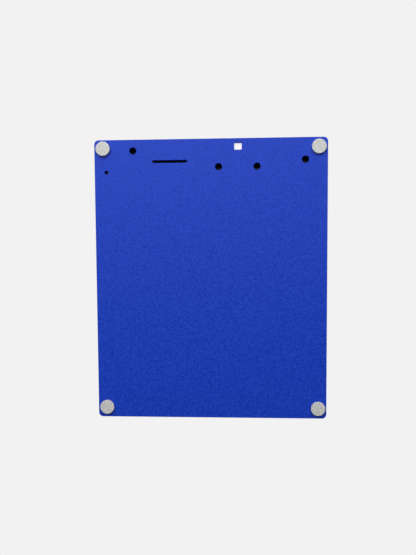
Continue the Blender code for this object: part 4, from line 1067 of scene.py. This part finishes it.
def remaining_nodes():
    """The nodes that still show get their finish, and edges as soft as moulding or milling leaves them."""
    for name, node in NODES.items():
        if node.hide_render:
            continue
        for holder in node.material_slots:
            holder.material = OWN_FINISH.get(name, FINISHES[SLOTS[name]])
        weld = node.modifiers.new("Weld", "WELD")
        weld.merge_threshold = 2 * SAME_PLACE
        soften(node, "Soft_edge", EDGE, 2)


# ---------------- studio


def studio_floor():
    """Pale floor that the feet stand on, clear from underneath so that the underside can be seen."""
    mesh = bpy.data.meshes.new("studio_floor")
    corners = [(u * FLOOR_HALF, v * FLOOR_HALF, 0) for u, v in ((-1, -1), (1, -1), (1, 1), (-1, 1))]
    mesh.from_pydata(corners, [], [(0, 1, 2, 3)])
    floor = placed("studio_floor", mesh)
    made, tree, shader, where = finish("pale_paper", roughness=0.9, base_color=linear("f4f4f4"))
    side = add(tree, "NewGeometry").outputs["Backfacing"]
    away = add(tree, "VectorMath", {0: where}, operation="LENGTH").outputs["Value"]
    near, far = FLOOR_FADE
    fade = add(tree, "MapRange", {"Value": away, "From Min": near, "From Max": far})
    unseen = add(tree, "Math", {0: side, 1: fade.outputs[0]}, operation="MAXIMUM")
    clear = add(tree, "BsdfTransparent")
    both = add(tree, "MixShader", {0: unseen.outputs[0], 1: shader.outputs[0], 2: clear.outputs[0]})
    output = next(n for n in tree.nodes if n.type == "OUTPUT_MATERIAL")
    tree.links.new(both.outputs[0], output.inputs["Surface"])
    mesh.materials.append(made)
    floor.visible_shadow = False
    floor.visible_diffuse = False
    floor.visible_glossy = False


def world():
    """Even pale surroundings: as bright as paper where they are seen, dimmer in the light that they give,
    and dimmest from under the table."""
    made = bpy.data.worlds.new("studio")
    made.use_nodes = True
    bpy.context.scene.world = made
    tree = made.node_tree
    seen = add(tree, "Background", {"Color": linear("f2f2f2"), "Strength": 1.0})
    ray = add(tree, "SeparateXYZ", {0: add(tree, "TexCoord").outputs["Generated"]})
    low, high = WORLD_LIGHT
    rise = {"From Min": 0.0, "From Max": 0.3, "To Min": low, "To Max": high}
    level = add(tree, "MapRange", {"Value": ray.outputs["Z"], **rise})
    given = add(tree, "Background", {"Color": linear("f2f2f2"), "Strength": level.outputs[0]})
    path = add(tree, "LightPath")
    watched = path.outputs["Is Camera Ray"]
    both = add(tree, "MixShader", {0: watched, 1: given.outputs[0], 2: seen.outputs[0]})
    tree.links.new(both.outputs[0], tree.nodes["World Output"].inputs["Surface"])


def lamp(name, place, aim, size, watts):
    light = bpy.data.lights.new(name, "AREA")
    light.shape = "RECTANGLE"
    light.size, light.size_y = size
    light.energy = watts
    holder = placed(name, light)
    holder.location = place
    holder.rotation_euler = (Vector(aim) - Vector(place)).to_track_quat("-Z", "Y").to_euler()


def lights():
    """Soft boxes: one under the rear edge, which the underside faces, and three over the case."""
    lamp("under_rear", (0.05, 0.4, -0.5), (0, 0, 0), (1.0, 0.6), 5.15)
    lamp("over_front", (0.35, -0.65, 0.75), (0, 0, 0), (0.6, 0.5), 4.5)
    lamp("over_left", (-0.7, 0.1, 0.5), (0, 0, 0), (0.5, 0.5), 2.0)
    lamp("over_rear", (0.2, 0.8, 0.6), (0, 0, 0), (0.6, 0.4), 3.0)


def camera():
    """Looks up at the underside from a little to one side, nearly square to it."""
    place, aim = (Vector(point) * MM for point in (CAMERA_PLACE, CAMERA_AIM))
    back = (place - aim).normalized()
    right = (-back).cross(Vector(CAMERA_UP)).normalized()
    up = back.cross(right)
    data = bpy.data.cameras.new("main_camera")
    data.lens = LENS
    data.sensor_width = SENSOR
    data.clip_start, data.clip_end = 0.01, 10
    made = placed("main_camera", data)
    turn = Matrix((right, up, back)).transposed().to_4x4()
    made.matrix_world = Matrix.Translation(place) @ turn
    bpy.context.scene.camera = made


bpy.context.scene.view_settings.view_transform = "Standard"
camera()
world()
lights()
studio_floor()
bottom_plate()
cover()
end_panels()
feet()
case_screws()
usb_socket()
ethernet_socket()
video_socket()
usb_c_socket()
round_sockets()
power_button()
front_lights()
memory_card()
pin_header()
fan()
board_parts()
remaining_nodes()
